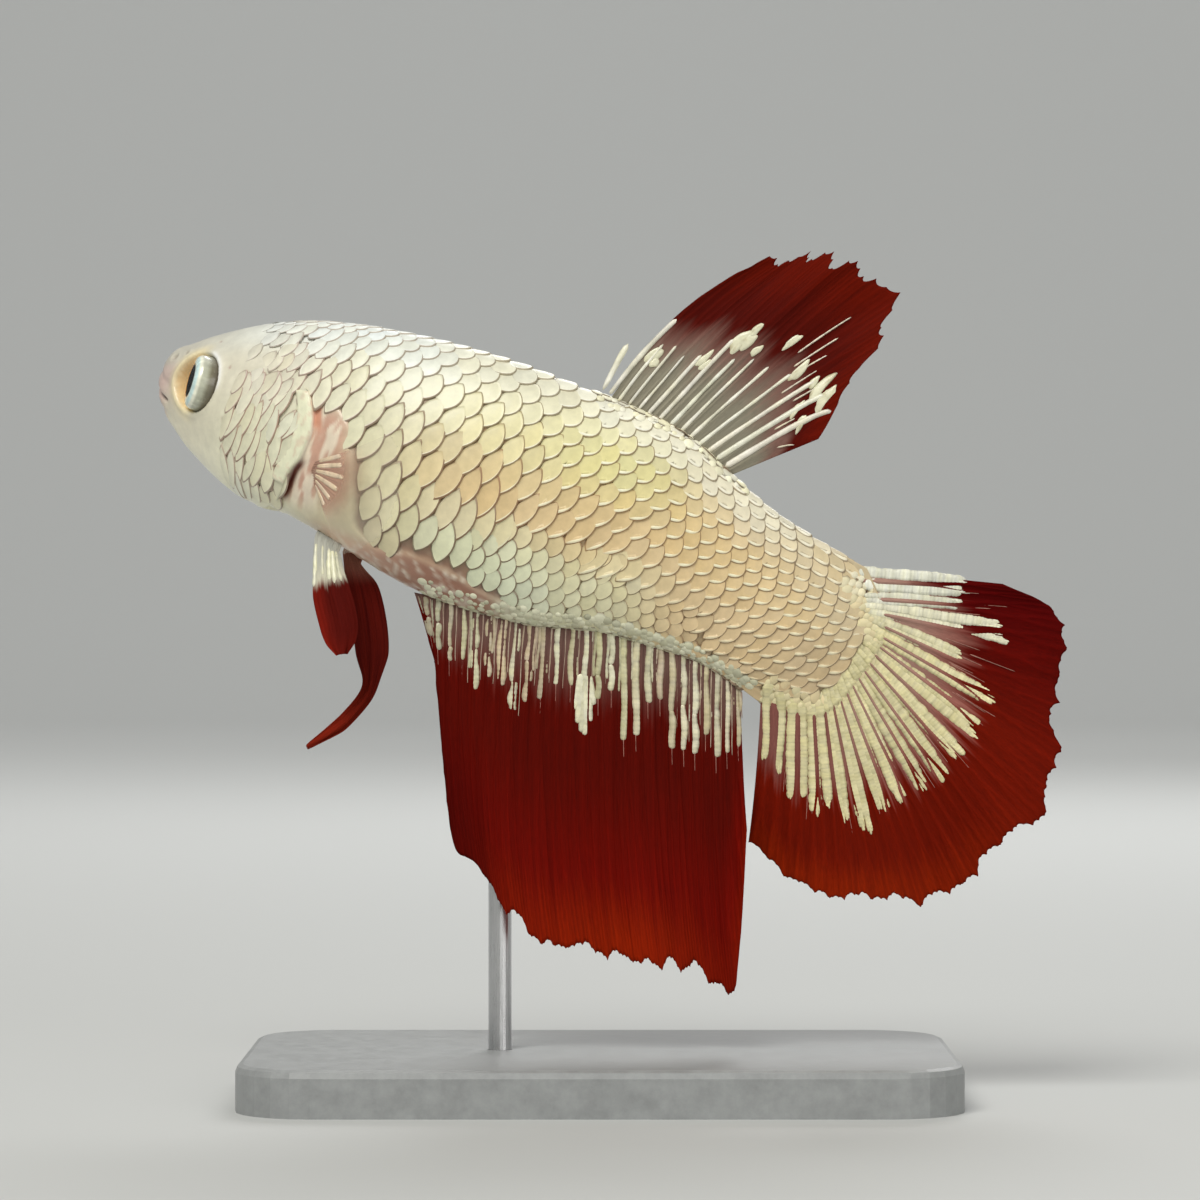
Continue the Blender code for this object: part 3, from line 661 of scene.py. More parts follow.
def make_skin(material):
    """One closed skin of rings round the body; one ring lies along the gill cover's edge."""
    nose = NOSE_ROUND * (1 - np.cos(np.radians(np.linspace(3, 90, 26))))
    edge, step = 15.5, 0.12
    head = np.concatenate((np.arange(edge, NOSE_ROUND + 0.06, -step)[::-1], [edge + 0.03]))
    behind = np.arange(edge + 0.15, 19.0, step)[:-1]
    stations = np.concatenate((nose, head, behind, np.linspace(19.0, BODY_LENGTH, 108)))
    ts = np.linspace(0, 1, 115)
    s0, t0 = np.meshgrid(stations, (ts[:-1] + ts[1:]) / 2, indexing="ij")
    warp = hill(s0, edge, 4.0) * (smooth(GILL_EDGE, 1, np.maximum(angle_at(s0, t0), 60)) - edge)
    s = np.clip(s0 + warp * ramp(s0, NOSE_ROUND, NOSE_ROUND + 1.5), 0.003, BODY_LENGTH)
    angle = angle_at(s, t0)
    halves, tints = [], []
    for side in (1, -1):
        plain = body_point(s, side * angle)
        out, tint = skin_relief(s, t0, angle, section(s, angle)[1], plain, side)
        halves.append(plain + normals_of(plain) * -side * out[..., None])
        tints.append(tint)
    rings, colours = (np.concatenate((a, b[:, ::-1]), 1) for a, b in (halves, tints))
    around = rings.shape[1]
    u = np.repeat(((s0 / BODY_LENGTH) ** 0.75)[:, :1], around + 1, 1)
    v = np.repeat(np.linspace(0, 1, around + 1)[None, :], len(stations), 0)
    maker = Maker()
    loft(maker, rings, colours, np.stack((u, v), -1))
    head_nodes = ("head", "lower_jaw", "gill_cover_left", "gill_cover_right")
    maker.piece("skin", material, "skin", (*head_nodes, "trunk_front", "trunk_rear", "tail_stalk"))


# --- scales ---
# share of the way round: how far apart the rows of scales are, as a share of the way round
ROW_STEP = (
    (0.0, 0.056), (0.2, 0.072), (0.34, 0.086), (0.44, 0.096), (0.54, 0.102), (0.7, 0.102), (0.82, 0.088),
    (1.0, 0.05)
)
# distance from the snout: distance from scale to scale along a row
SCALE_STEP = (
    (7.5, 0.75), (11.0, 0.85), (15.0, 0.97), (19.0, 1.18), (24.0, 1.30), (29.0, 1.27), (35.0, 1.22),
    (42.0, 1.10), (47.0, 0.92), (50.0, 0.8)
)
LOWER_STEP = 1.04
LOWER_ROWS = 0.064
FLAKE_STEP = 0.72
TAIL_ROOT_WIDTH = 1.15


# share of the way round, how fast a row comes down towards the tail
ROW_SLOPE = ((-0.15, 0.005), (0.0, 0.006), (0.20, 0.0065), (0.40, 0.0045), (0.60, 0.002), (1.1, 0.0))
SLOPE_FROM = 26.0


def row_place(s, rho):
    """The way round at which a row of scales passes this station."""
    upward = 0.0045 * (np.minimum(s, SLOPE_FROM) - SLOPE_FROM)
    front = upward * ramp(rho, 0.0, 0.2) * (1 - 0.6 * ramp(rho, 0.75, 1.0))
    rear = smooth(ROW_SLOPE, 1, rho) * np.clip(s - SLOPE_FROM, 0, 12.0)
    return rho + front + rear - 0.026 * np.maximum(s - 44.5, 0.0)


def in_lower_flank(s, t, reach=0.0):
    """Whether a place lies among the small upright scales of the lower flank."""
    forward, rearward = 0.10 * (1 - ramp(s, 27.0, 31.0)), 0.06 * ramp(s, 36.0, 42.0)
    return (t > 0.605 + forward + rearward + 0.4 * ramp(s, 42.5, 46.0) + reach) & (s > 27.6)


def is_cheek(s, t):
    """Whether a place lies in the field of small flakes behind the eye and over the gill cover."""
    before_edge = smooth(GILL_EDGE, 1, angle_at(s, t)) - s
    above = t > 0.27 + 0.06 * math.sin(s * 1.3)
    return bool(above and before_edge > 0.75 + 0.5 * ramp(t, 0.7, 0.8) and s > 8.0)


def fan_place(s, t):
    """How far inside the curved end of the body a place is; the edges above and below count as far."""
    height = section(s, angle_at(s, t))[1]
    x = s + root_bulge(s, height)
    edge = np.linspace(END_TOP, END_BOTTOM, 60)
    back = BODY_LENGTH - x
    above, below = END_TOP - height < 1.5 * back, height - END_BOTTOM < 1.6 * back
    if (above or below) and back > 0.2:
        return 9.0
    return float(np.hypot(x - end_reach(edge), height - edge).min())


def lattice():
    """The scales of one side as rows of (s, t, step, step on the skin, across, egg).

    egg is 0 for the pointed scales of the flank and 1 for the rounded ones of the lower flank.
    """
    return flank_rows() + lower_files() + head_flakes()


def flank_rows():
    """Long rows from the head to the tail, every second one set back by half a scale."""
    found = []
    fine = np.linspace(7.0, BODY_LENGTH + 0.2, 400)
    step = smooth(SCALE_STEP, 1, fine)
    rho, j = -0.26, 0
    while rho < 1.1:
        t = row_place(fine, rho)
        height = section(fine, angle_at(fine, np.clip(t, 0, 1)))[1]
        stretch = 1 + np.gradient(root_bulge(fine, height), fine)
        lean = (0.03 + 0.13 * ramp(fine, 24.0, 32.0)) * (rho - 0.5) * 18.0
        phase = np.concatenate(([0], np.cumsum(stretch[:-1] / step[:-1] * np.diff(fine)))) + lean / step
        across = float(smooth(ROW_STEP, 1, np.clip(rho, 0, 1)))
        for k in range(int(phase[0]) - 1, int(phase[-1]) + 2):
            s = float(np.interp(k + 0.5 * (j % 2), phase, fine, left=0, right=0))
            t = float(row_place(s, rho))
            lower_reach = 0.025 + 0.04 * ramp(s, 31, 36)
            if s < 7.6 or not 0.0 < t < 0.985 or in_lower_flank(s, t, lower_reach) or is_cheek(s, t):
                continue
            if fan_place(s, t) > TAIL_ROOT_WIDTH:
                here = float(smooth(SCALE_STEP, 1, s))
                squeeze = float(row_place(s, rho + 0.02) - row_place(s, rho - 0.02)) / 0.04
                tall = across * squeeze * float(girth(s)) * (1 - 0.30 * (1 - float(ramp(s, 9.0, 16.0))))
                found.append((s, t, here / float(np.interp(s, fine, stretch)), here, tall, 0.0))
        rho += across
        j += 1
    return found


def lower_files():
    """Upright files of small rounded scales on the lower flank."""
    found = []
    for j in range(7):
        for k in range(28):
            s = 26.0 + LOWER_STEP * k + 0.40 * j
            t = 0.575 + LOWER_ROWS * j + 0.02 * float(ramp(s, 30.0, 44.0))
            inside = s < BODY_LENGTH - 1 and in_lower_flank(s, t) and t < 0.93
            if inside and fan_place(s, t) > TAIL_ROOT_WIDTH:
                found.append((s, t, LOWER_STEP, LOWER_STEP, LOWER_ROWS * float(girth(s)), 1.0))
    return found


def head_flakes():
    """The side of the head: small uneven flakes above, tall narrow plates below."""
    found = []
    down = 0.0
    for j in range(24):
        tall = 0.86 + 0.80 * float(ramp(down, 1.5, 5.0)) - 0.5 * float(ramp(down, 9.5, 12.0))
        for k in range(24):
            s = 8.3 + FLAKE_STEP * k + FLAKE_STEP / 2 * (j % 2) + 0.09 * rng.normal()
            t = 0.27 + (down + 0.10 * rng.normal()) / float(girth(s)) - 0.004 * (s - 12)
            size = 1 + 0.10 * rng.normal()
            if t < 0.98 and is_cheek(s, t) and rng.random() < 0.4 + 0.6 * float(ramp(s, 8.2, 10.2)):
                found.append((s, t, FLAKE_STEP * size, FLAKE_STEP * size, tall * size, 0.5))
        down += tall
    return found


# rings of a scale, from its middle out to the dark line it leaves on the next one
RING_AT = np.array([0.0, 0.45, 0.78, 0.90, 0.935, 0.985, 1.0, 1.10, 1.16])
FILL, RIM, LINE = 0, 1, 2
RING_ZONE = np.array([FILL] * 4 + [RIM] * 2 + [LINE] * 3)
SPOKES = np.radians(np.concatenate((np.linspace(-125, 125, 19), [150, 180, 210])))


def make_scales(material):
    """Scales of each side in three pieces, thinned out where they begin on the nape."""
    groups = {}
    for side in (1, -1):
        for site in lattice():
            wobble = rng.normal(0, 1, 8)
            s, t = site[:2]
            if scaled(np.array(s), np.array(t)) < 0.6:
                continue
            begin = float(smooth(SCALES_FROM, 1, t))
            if t < 0.33 and rng.random() > 0.70 + 0.30 * float(ramp(s, begin, begin + 3.0)):
                continue
            part = "front" if s < 19 else "middle" if s < 34 else "rear"
            groups.setdefault((side, part), []).append((*site, wobble))
    for (side, part), chosen in groups.items():
        maker = Maker()
        add_scales(maker, side, chosen)
        maker.piece(f"scales_{part}_{word_of(side)}", material, "skin")


def add_scales(maker, side, chosen):
    """Domed plates, each tilted so that its rear edge lies over the next ones."""
    s0, t0, span, step, across, egg = (np.array([c[k] for c in chosen]) for k in range(6))
    wobble = np.array([c[6] for c in chosen])
    s0 = s0 + 0.025 * wobble[:, 0] * span
    t0 = t0 + 0.02 * wobble[:, 1] * across / girth(s0)
    each = lambda a: a[:, None, None]  # one value for all points of a scale
    on_head = 1 - ramp(s0, 15.0, 17.5)
    high = 1 - ramp(t0, 0.14, 0.36)
    rear = ramp(s0, 28.0, 34.0)
    behind = ramp(s0, 27, 33)
    deep = hill(s0, 27.0, 4.5) * hill(t0, 0.52, 0.2)
    fresh = 0.15 + 0.85 * settled(s0, t0)
    longer = blend(0.515 + 0.015 * rear + 0.12 * high - 0.02 * deep, 0.53 + 0.14 * on_head, egg)
    taller = blend(0.775 + 0.02 * rear - 0.05 * high, 0.68 + 0.22 * on_head, egg)
    half_long = step * longer * (1 + 0.03 * wobble[:, 2])
    half_tall = across * taller * (1 + 0.03 * wobble[:, 3])
    leaf = each(blend(1.72 - 0.22 * high, 1.30, egg))
    # the row's slope and the lean of the scales on it
    slope = smooth(ROW_SLOPE, 1, t0) * girth(s0) * hill(s0, 33, 7.5) + 0.09 * (s0 < SLOPE_FROM)
    front_lean = 3 + 7 * (1 - ramp(t0, 0.35, 0.7)) + 10 * high
    lean = front_lean * (1 - ramp(s0, 26, 32)) + (26 + 4 * high) * behind
    uneven = 2.0 * wobble[:, 4] * (1 + 5 * on_head * ramp(t0, 0.25, 0.35))
    turn = blend(np.degrees(np.arctan(slope)) + lean + uneven, 4.0, egg * (1 - on_head))
    turn = each(np.radians(turn))
    # widths of the pale rim, widest on the scale's lit side where it carries a painted highlight, and of
    # the dark line
    patch = mottle(s0 * 0.8, t0 * 14.0)
    line = 0.045 + 0.022 * band(s0, 17, 20, 27, 33) * ramp(t0, 0.3, 0.5) + 0.01 * patch
    rim_wide = 0.045 + 0.080 * behind * (1 - egg) - 0.018 * on_head
    spoke = SPOKES[None, None, :]
    lit = 0.04 + 0.96 * hill(np.degrees(spoke), 34 + 8 * each(behind), 44)
    r = np.broadcast_to(RING_AT[None, :, None], (len(s0), len(RING_AT), len(SPOKES))).copy()
    small = np.minimum(half_long, half_tall)[:, None]
    rim_here = rim_wide[:, None] * (0.12 + 0.88 * lit[:, 0])
    r[:, 3] = 1 - 1.6 * rim_here / small
    r[:, 4] = 1 - 1.2 * rim_here / small
    r[:, 7] = 1 + line[:, None] / small
    r[:, 8] = 1 + (line[:, None] + 0.03) / small
    # the plate on the body: its exposed middle sits at s0, so it reaches forward of that
    x = r * np.sign(np.cos(spoke)) * np.abs(np.cos(spoke)) ** leaf
    y = r * np.sin(spoke)
    dx, dy = x * each(half_long) - each(half_long - 0.46 * step), y * each(half_tall)
    s = each(s0) + (dx * np.cos(turn) - dy * np.sin(turn)) * each(span / step)
    t = each(t0) + (dx * np.sin(turn) + dy * np.cos(turn)) / each(girth(s0))
    inside = np.clip(s, 0.5, BODY_LENGTH)
    tilt = 0.105 * each((1 - 0.25 * on_head) * (0.5 + 0.5 * fresh))
    lift = 0.035 * (1 - np.minimum(r, 1) ** 2)
    lift[:, 4:6] += 0.004
    lift[:, 6:] += np.array([-0.016, -0.022, -0.16])[:, None]
    level = each(0.02 * fresh - 0.03 * egg + 0.010 * wobble[:, 5]) + 0.02 * each(wobble[:, 6]) * y
    out = level + tilt * (x - 1) * each(half_long) + lift * each((1 - 0.45 * on_head) * fresh)
    over_back, over_belly = -angle_at(inside, -t), 360 - angle_at(inside, 2 - t)
    angle = np.where(t < 0, over_back, np.where(t > 1, over_belly, angle_at(inside, t)))
    points = body_point(inside, side * angle, out)
    points = points + directions(np.clip(s / BODY_LENGTH, 0, 1))[0] * (s - inside)[..., None]
    # colour: a fill with some grain and painted shade and highlight, a pale rim with a painted highlight on
    # its lit side, and the line, darkest at the lower rear
    place = (np.clip(s0, 0, BODY_LENGTH), np.clip(t0, 0, 1))
    fill, rim, gap = (body_colour(*place, column)[:, None, None, :] for column in (2, 3, 4))
    patch = mottle(s0 * 0.55, t0 * 9.0)
    warmth = each(0.45 * wobble[:, 2] + 1.6 * patch)
    grain = mottle(s * 2.4 + 5, t * each(girth(s0)) * 1.2)
    # painted shade on the fill towards its covered front and upper edge, and a painted highlight towards
    # its lower rear; the grain and each scale's own tone are the fish's colour
    shade = 1 - 0.09 * ramp(0.6 - x - 0.3 * y, 0.2, 1.2) + 0.07 * ramp(x + 0.5 * y, 0.4, 1.0) + 0.05 * grain
    shade = shade * each(1 + 0.035 * wobble[:, 7])
    fill = fill * np.array([1.0, 0.985, 0.94]) ** warmth[..., None] * shade[..., None]
    lit = lit * each(1 - 0.6 * egg * ramp(s0, 17, 20)) + 0 * x
    # the line is a dark pigment line at the scale's edge and, on the rear half of the body, painted shade
    # beside the raised rim; depth makes it darkest at the lower rear
    depth = np.clip(0.80 + 0.26 * np.cos(spoke - 0.3) + 0.12 * each(patch), 0.35, 1) * each(fresh) + 0 * x
    zone = RING_ZONE[None, :, None, None]
    tint = np.where(
        zone == FILL, fill, np.where(zone == RIM, mixed(fill, rim, lit), mixed(fill * 0.8, gap, depth))
    )
    low, high_end = s0.min() - 1, s0.max() + 1
    home = np.stack(((s0 - low) / (high_end - low) * 0.96 + 0.02, t0 * 0.94 + 0.03), -1)
    add_plates(maker, points, tint, np.stack((x, y), -1) / 1.3, RING_ZONE, home, side < 0)


def blend(a, b, share):
    """Numbers a and b mixed by shares."""
    return a * (1 - share) + b * share


# on the UV map: half the width of a plate's patch, and how far its zones lie from each other
PATCH = 0.0015
PATCH_STEP = 0.0045


def add_plates(maker, points, tints, disc, ring_zone, home, flip):
    """Many plates, their points as (plate, ring, spoke, 3), each with an underside.

    home is a plate's place on the UV map and disc its points within a patch there; the fill, rim
    and line keep patches of their own.
    """
    count, rings, spokes = points.shape[:3]
    k = np.arange(spokes)
    index = lambda i, k: 1 + (i - 1) * spokes + k % spokes
    fan = np.stack((0 * k, index(1, k), index(1, k + 1)), -1)
    i, k2 = np.meshgrid(np.arange(1, rings - 1), k, indexing="ij")
    quads = np.stack((index(i, k2), index(i + 1, k2), index(i + 1, k2 + 1), index(i, k2 + 1)), -1)
    under = 1 + (rings - 1) * spokes
    base = np.stack((0 * k + under, index(rings - 1, k + 1), index(rings - 1, k)), -1)
    quad_zones = np.repeat(np.minimum(ring_zone[1:-1], ring_zone[2:]), spokes)
    disc = np.broadcast_to(disc, (count, rings, spokes, 2))
    points, tints, disc = (
        np.concatenate(
            (a[:, 0, :1], a[:, 1:].reshape(count, -1, a.shape[-1]), a[:, -1].mean(1, keepdims=True)), 1
        )
        for a in (points, tints, disc)
    )
    plate = np.arange(count)[:, None, None]
    all_faces, all_uvs = [], []
    for face, zone in ((fan, 0 * k + FILL), (quads.reshape(-1, 4), quad_zones), (base, 0 * k + LINE)):
        if flip:
            face = face[:, ::-1]
        patch = home[:, None, None, :] + disc[plate, face[None]] * PATCH
        patch = patch + np.stack((PATCH_STEP * (zone - 1), 0 * zone), -1)[None, :, None, :]
        all_faces.append((face[None] + plate * (under + 1)).reshape(-1, face.shape[1]))
        all_uvs.append(patch.reshape(-1, face.shape[1], 2))
    maker.add(points, tints, all_faces, all_uvs)


# rings of a bead: how far out they lie, how high they stand, and their zones
BEAD_AT = np.array([0.0, 0.5, 0.85, 1.0, 1.25])
BEAD_OUT = np.array([1.0, 0.85, 0.40, 0.0, -0.6])
BEAD_ZONE = np.array([FILL, FILL, FILL, LINE, LINE])
BEAD_SPOKES = np.radians(np.arange(10) * 36.0)


def add_beads(maker, centre, along, normal, size, tones, home, dark, tilt=0.0, flip=False):
    """Small domed plates: centre, direction and normal each (n, 3), size (n, 3) long, wide, high."""
    along = unit(along - normal * (along * normal).sum(-1, keepdims=True))
    across = np.cross(normal, along)
    each = lambda a: a[:, None, None]
    x, y = BEAD_AT[:, None] * np.cos(BEAD_SPOKES), BEAD_AT[:, None] * np.sin(BEAD_SPOKES)
    long, wide, high = (each(size[:, k]) for k in range(3))
    rise = each(tilt + 0 * size[:, 0]) * x * long + BEAD_OUT[:, None] * high
    points = (
        each(centre) + each(along) * (x * long)[..., None] + each(across) * (y * wide)[..., None]
        + each(normal) * rise[..., None]
    )
    tint = np.broadcast_to(tones[:, None, None, :], points.shape).copy()
    tint[:, 3] = tint[:, 3] * 0.75
    tint[:, 4] = dark
    add_plates(maker, points, tint, np.stack((x, y), -1) / 1.25, BEAD_ZONE, home, flip)


def body_frame(s, angle, side):
    """Point, tailward tangent and outward normal of the body's surface."""
    at = body_point(s, side * angle)
    ahead = body_point(np.minimum(s + 0.2, BODY_LENGTH), side * angle) - body_point(s - 0.2, side * angle)
    around = body_point(s, side * (angle + 1)) - body_point(s, side * (angle - 1))
    return at, unit(ahead), unit(np.cross(ahead, around) * -side)


def end_place(u, w):
    """(s, angle) and outward direction of places w inside the curved end of the body, u from its top."""
    fine = np.linspace(0, 1, 400)
    height = END_TOP + fine * (END_BOTTOM - END_TOP)
    reach = end_reach(height)
    along_edge = np.concatenate(([0], np.cumsum(np.hypot(np.diff(reach), np.diff(height)))))
    share = np.interp(u, along_edge / along_edge[-1], fine)
    slope = np.gradient(reach, height)
    back, rise = (np.interp(share, fine, a) for a in (1 / np.hypot(1, slope), -slope / np.hypot(1, slope)))
    x, h = np.interp(share, fine, reach) - w * back, np.interp(share, fine, height) - w * rise
    s, angle = under_bulge(x, h, 12)
    tailward, up = directions(np.clip(s / BODY_LENGTH, 0, 1))[:2]
    return s, angle, tailward * back[:, None] + up * rise[:, None]


def surface_of(point):
    """(s, angle) of the surface beside a point of the tail's middle plane, and how far past it."""
    rel = point - posed(BODY_LENGTH, 0, 0)
    tailward, up = directions(np.array(1.0))[:2]
    reach, height = BODY_LENGTH + rel @ tailward, rel @ up
    s, angle = under_bulge(reach, height, 8)
    return s, angle, reach - s - root_bulge(s, height)


def make_beads(material):
    """Small round scales where the body meets its fins."""
    for side in (1, -1):
        maker = Maker()
        add_tail_root_beads(maker, side)
        # stretch of the body, way round, rows, size, colours and place on the UV map of the anal
        # fin's root and the dorsal fin's
        anal = (25.6, 47.9, 0.918, 0.992, 4, 0.27, ((0.56, 0.55, 0.38), (0.76, 0.75, 0.56)), 0.40)
        dorsal = (31.4, 41.5, 0.006, 0.045, 2, 0.30, ((0.90, 0.86, 0.60), (0.84, 0.82, 0.68)), 0.70)
        for stretch in (anal, dorsal):
            add_fin_root_beads(maker, side, *stretch)
        maker.piece(f"scales_fin_roots_{word_of(side)}", material, "skin")


def add_tail_root_beads(maker, side):
    """Small scales of the tail's root, in files that run on into the rays."""
    w_at = np.array([0.24, 0.58, 0.94, 1.34, 1.78])
    files = 25
    u, k = np.meshgrid((np.arange(files) + 0.5) / files, np.arange(len(w_at)), indexing="ij")
    u = np.clip(u + (k % 2 - 0.5) * 0.5 / files + rng.normal(0, 0.003, u.shape), 0.004, 0.996).ravel()
    w = (w_at[k] + rng.normal(0, 0.05, k.shape)).ravel()
    s, angle, outward = end_place(u, w)
    at, _, normal = body_frame(s, angle, side)
    far = ramp(w, 0.7, 2.6)
    wide = 0.26 + 0.07 * far + rng.normal(0, 0.02, len(s))
    size = np.stack((wide * (1.10 + 0.7 * far), wide, 0.075 - 0.02 * far), -1)
    tones = mixed((0.78, 0.70, 0.42), (0.70, 0.54, 0.30), rng.random(len(s)) * ramp(w, 0, 2.5))
    tones = mixed(tones, (0.84, 0.80, 0.62), (1 - ramp(u, 0.03, 0.16)) * (1 - far) * 0.8)
    tones = tones * (1 + 0.06 * rng.normal(0, 1, (len(s), 1)))
    home = np.stack((0.04 + 0.06 * w, 0.04 + 0.92 * u), -1)
    centre = at - normal * (0.02 + 0.03 * far)[:, None]
    outward = outward + normal * (0.10 * far)[:, None]
    add_beads(maker, centre, outward, normal, size, tones, home, (0.42, 0.30, 0.18), 0.16 * far)


def add_fin_root_beads(maker, side, low, high, t_low, t_high, rows, bead, colours, home_at):
    """Rows of beads along the root of the dorsal or the anal fin."""
    number = int((high - low) / (bead * 1.75))
    s, row = np.meshgrid(np.linspace(low, high, number), np.arange(rows), indexing="ij")
    s = s + 0.8 * bead * (row % 2) + rng.normal(0, 0.09, s.shape)
    t = t_low + (t_high - t_low) * row / (rows - 1) + rng.normal(0, 0.006, s.shape)
    s, t = s.ravel(), np.clip(t.ravel(), 0.004, 0.996)
    at, ahead, normal = body_frame(s, angle_at(s, t), side)
    wide = bead * (1 + 0.22 * rng.normal(0, 1, len(s)))
    size = np.stack((wide * 1.1, wide, np.full(len(s), 0.10)), -1)
    tones = mixed(*colours, rng.random(len(s))) * (1 + 0.10 * rng.normal(0, 1, (len(s), 1)))
    home = np.stack(
        (home_at + 0.28 * (t - t_low) / (t_high - t_low), 0.02 + 0.96 * (s - low) / (high - low)), -1
    )
    add_beads(
        maker, at - normal * 0.04, ahead, normal, size, tones, np.clip(home, 0.01, 0.99), (0.26, 0.18, 0.11)
    )


# --- fins ---
# Each row is one ray: place along the root, lean back, how much more it leans at its tip, length.
DORSAL_ROOT = (0.63, 0.82)
DORSAL_RAYS = (
    (0.00, 4.5, 0.0, 3.1), (0.06, 12.0, 6.0, 4.4), (0.10, 22.5, 20.0, 11.8), (0.20, 25.0, 14.0, 14.0),
    (0.42, 23.5, 5.0, 15.6), (0.64, 24.5, 5.0, 16.1), (0.74, 28.5, 6.0, 16.2), (0.84, 29.5, 5.0, 13.5),
    (0.96, 30.5, 0.0, 8.8), (1.00, 40.0, 0.0, 5.7)
)
ANAL_ROOT = (0.505, 0.975)
ANAL_RAYS = (
    (0.00, 40.0, 0.0, 3.2), (0.035, 31.5, 4.0, 6.9), (0.07, 25.5, 6.0, 14.6), (0.16, 25.0, 10.0, 16.7),
    (0.26, 23.0, 10.0, 19.0), (0.38, 23.5, 10.0, 21.0), (0.56, 27.0, 8.0, 21.3), (0.80, 33.5, 6.0, 20.6),
    (0.93, 38.0, 6.0, 20.4), (1.00, 40.5, 2.0, 8.8)
)
CAUDAL_RAYS = (
    (0.00, -34.0, 0.0, 8.6), (0.06, -35.0, 4.0, 11.5), (0.12, -30.0, 3.0, 13.1), (0.18, -18.0, -4.0, 13.2),
    (0.25, -9.5, 0.0, 13.8), (0.34, 1.5, 0.0, 15.1), (0.50, 18.0, 3.0, 15.6), (0.60, 27.0, 3.0, 15.7),
    (0.80, 44.0, 3.0, 13.2), (0.90, 51.0, 3.0, 11.8), (1.00, 54.5, 3.0, 9.5)
)
PECTORAL_STATION = 0.350
PECTORAL_HEIGHT = -3.3
PECTORAL_ROOT = 2.0
PECTORAL_FLARE = 20.0
PECTORAL_RAYS = (
    (0.00, -30.0, -4.0, 6.0), (0.30, -12.0, 0.0, 7.4), (0.60, 12.0, 4.0, 7.6), (1.00, 46.0, 8.0, 5.0)
)
VENTRAL_OUT = 0.75
VENTRAL_DROP = 0.5
VENTRAL_LEFT = {
    "station": 0.369, "line": ((0.0, 0.0), (0.8, -1.2), (1.8, -2.5), (3.1, -3.9), (4.2, -5.5)),
    "widths": ((0.0, 2.0), (0.3, 2.3), (0.5, 2.8), (0.75, 2.8), (0.9, 2.2), (1.0, 0.9)), "spread": 1.7
}
VENTRAL_RIGHT = {
    "station": 0.398,
    "line": (
        (0.0, 0.0), (1.5, -1.3), (2.9, -3.1), (4.0, -5.0), (4.6, -7.0), (3.9, -9.2), (3.0, -10.6),
        (1.6, -12.3)
    ),
    "widths": ((0.0, 1.6), (0.15, 2.5), (0.4, 2.5), (0.52, 1.3), (0.6, 1.05), (0.8, 0.95), (1.0, 0.3)),
    "spread": 1.0
}


def ray_point(root, outward, back, rays, u, v, keep=1.0):
    """Places at share v of the ray at u, from its root out."""
    lean, bend, length = (smooth(rays, k, u) for k in (1, 2, 3))
    angle = np.radians(lean - bend / 2 * (1 - np.maximum(v, 0) ** 1.5))[..., None]
    return root + (outward * np.cos(angle) + back * np.sin(angle)) * (length * keep * v)[..., None]


def tooth(u, teeth, depth):
    """The share of its length kept between shallow scallops."""
    return 1 - depth * (0.5 - 0.5 * np.cos(2 * np.pi * teeth * u))


def ragged(u, seed, tips, depth, notch):
    """The share of its length kept at the margin: uneven tips with a notch between each two."""
    draw = np.random.default_rng(seed)
    heights = draw.random(tips + 2) ** 1.5
    place = np.clip(u, 0, 1) * tips
    i = np.minimum(place.astype(int), tips)
    within = place - i
    here = heights[i] * (1 - within) + heights[i + 1] * within
    return 1 - depth * here - notch * np.sin(np.pi * within) ** 0.75


def upright_fin(stretch, way, rays, keep, ripple):
    """A fin on the back (way 1) or the belly (way -1), along its stretch of the body."""

    def point(u, v):
        along = (stretch[0] + u * (stretch[1] - stretch[0])) * BODY_LENGTH
        tailward, up, leftward = directions(along / BODY_LENGTH)
        root = posed(along, 0, section(along, 90 - 90 * way)[1] + GAP * way)
        spot = ray_point(root, up * way, tailward, rays, u, v, keep(u, v))
        return spot + leftward * (ripple(u) * np.maximum(v, 0) ** 1.5)[..., None]

    return point


def worn(u, v, coarse, fine, start, whole):
    """The share kept by a margin with coarse and fine tips; whole is 0 where it stays even."""
    return 1 + (ragged(u, *coarse) * ragged(u, *fine) - 1) * ramp(v, start, 1.0) * whole


dorsal_point = upright_fin(
    DORSAL_ROOT, 1, DORSAL_RAYS, lambda u,
    v: tooth(u, 7, 0.06) * (1 + (ragged(u, 3, 30, 0.045, 0.022) - 1) * ramp(v, 0.5, 1.0)),
    lambda u: 0.35 * np.sin(14 * u + 1) + 0.9 * (u - 0.3)
)
anal_point = upright_fin(
    ANAL_ROOT, -1, ANAL_RAYS, lambda u,
    v: tooth(u, 12, 0.02) * worn(
        u, v, (5, 31, 0.030, 0.012), (6, 97, 0.01, 0.005), 0.6, ramp(u, 0.08, 0.3)
    ),
    lambda u: 0.5 * np.sin(17 * u - 3.2) + 0.6 * u**2
)


def caudal_point(u, v):
    """A place in the tail fin, from the curved end of the body back."""
    height = END_TOP + u * (END_BOTTOM - END_TOP)
    tailward, up, leftward = directions(np.ones_like(u))
    root = posed(end_reach(height) + GAP, 0, height)
    even = ramp(u, 0.02, 0.10)
    keep = tooth(u, 11, 0.03) * worn(u, v, (9, 31, 0.070, 0.020), (10, 83, 0.02, 0.008), 0.6, even)
    point = ray_point(root, tailward, -up, CAUDAL_RAYS, u, v, keep)
    ripple = 0.6 * np.sin(15 * u + 2.0) - 0.9 * u**2 + 0.5 * np.sin(np.pi * u)
    return point + leftward * (ripple * np.maximum(v, 0) ** 1.5)[..., None]


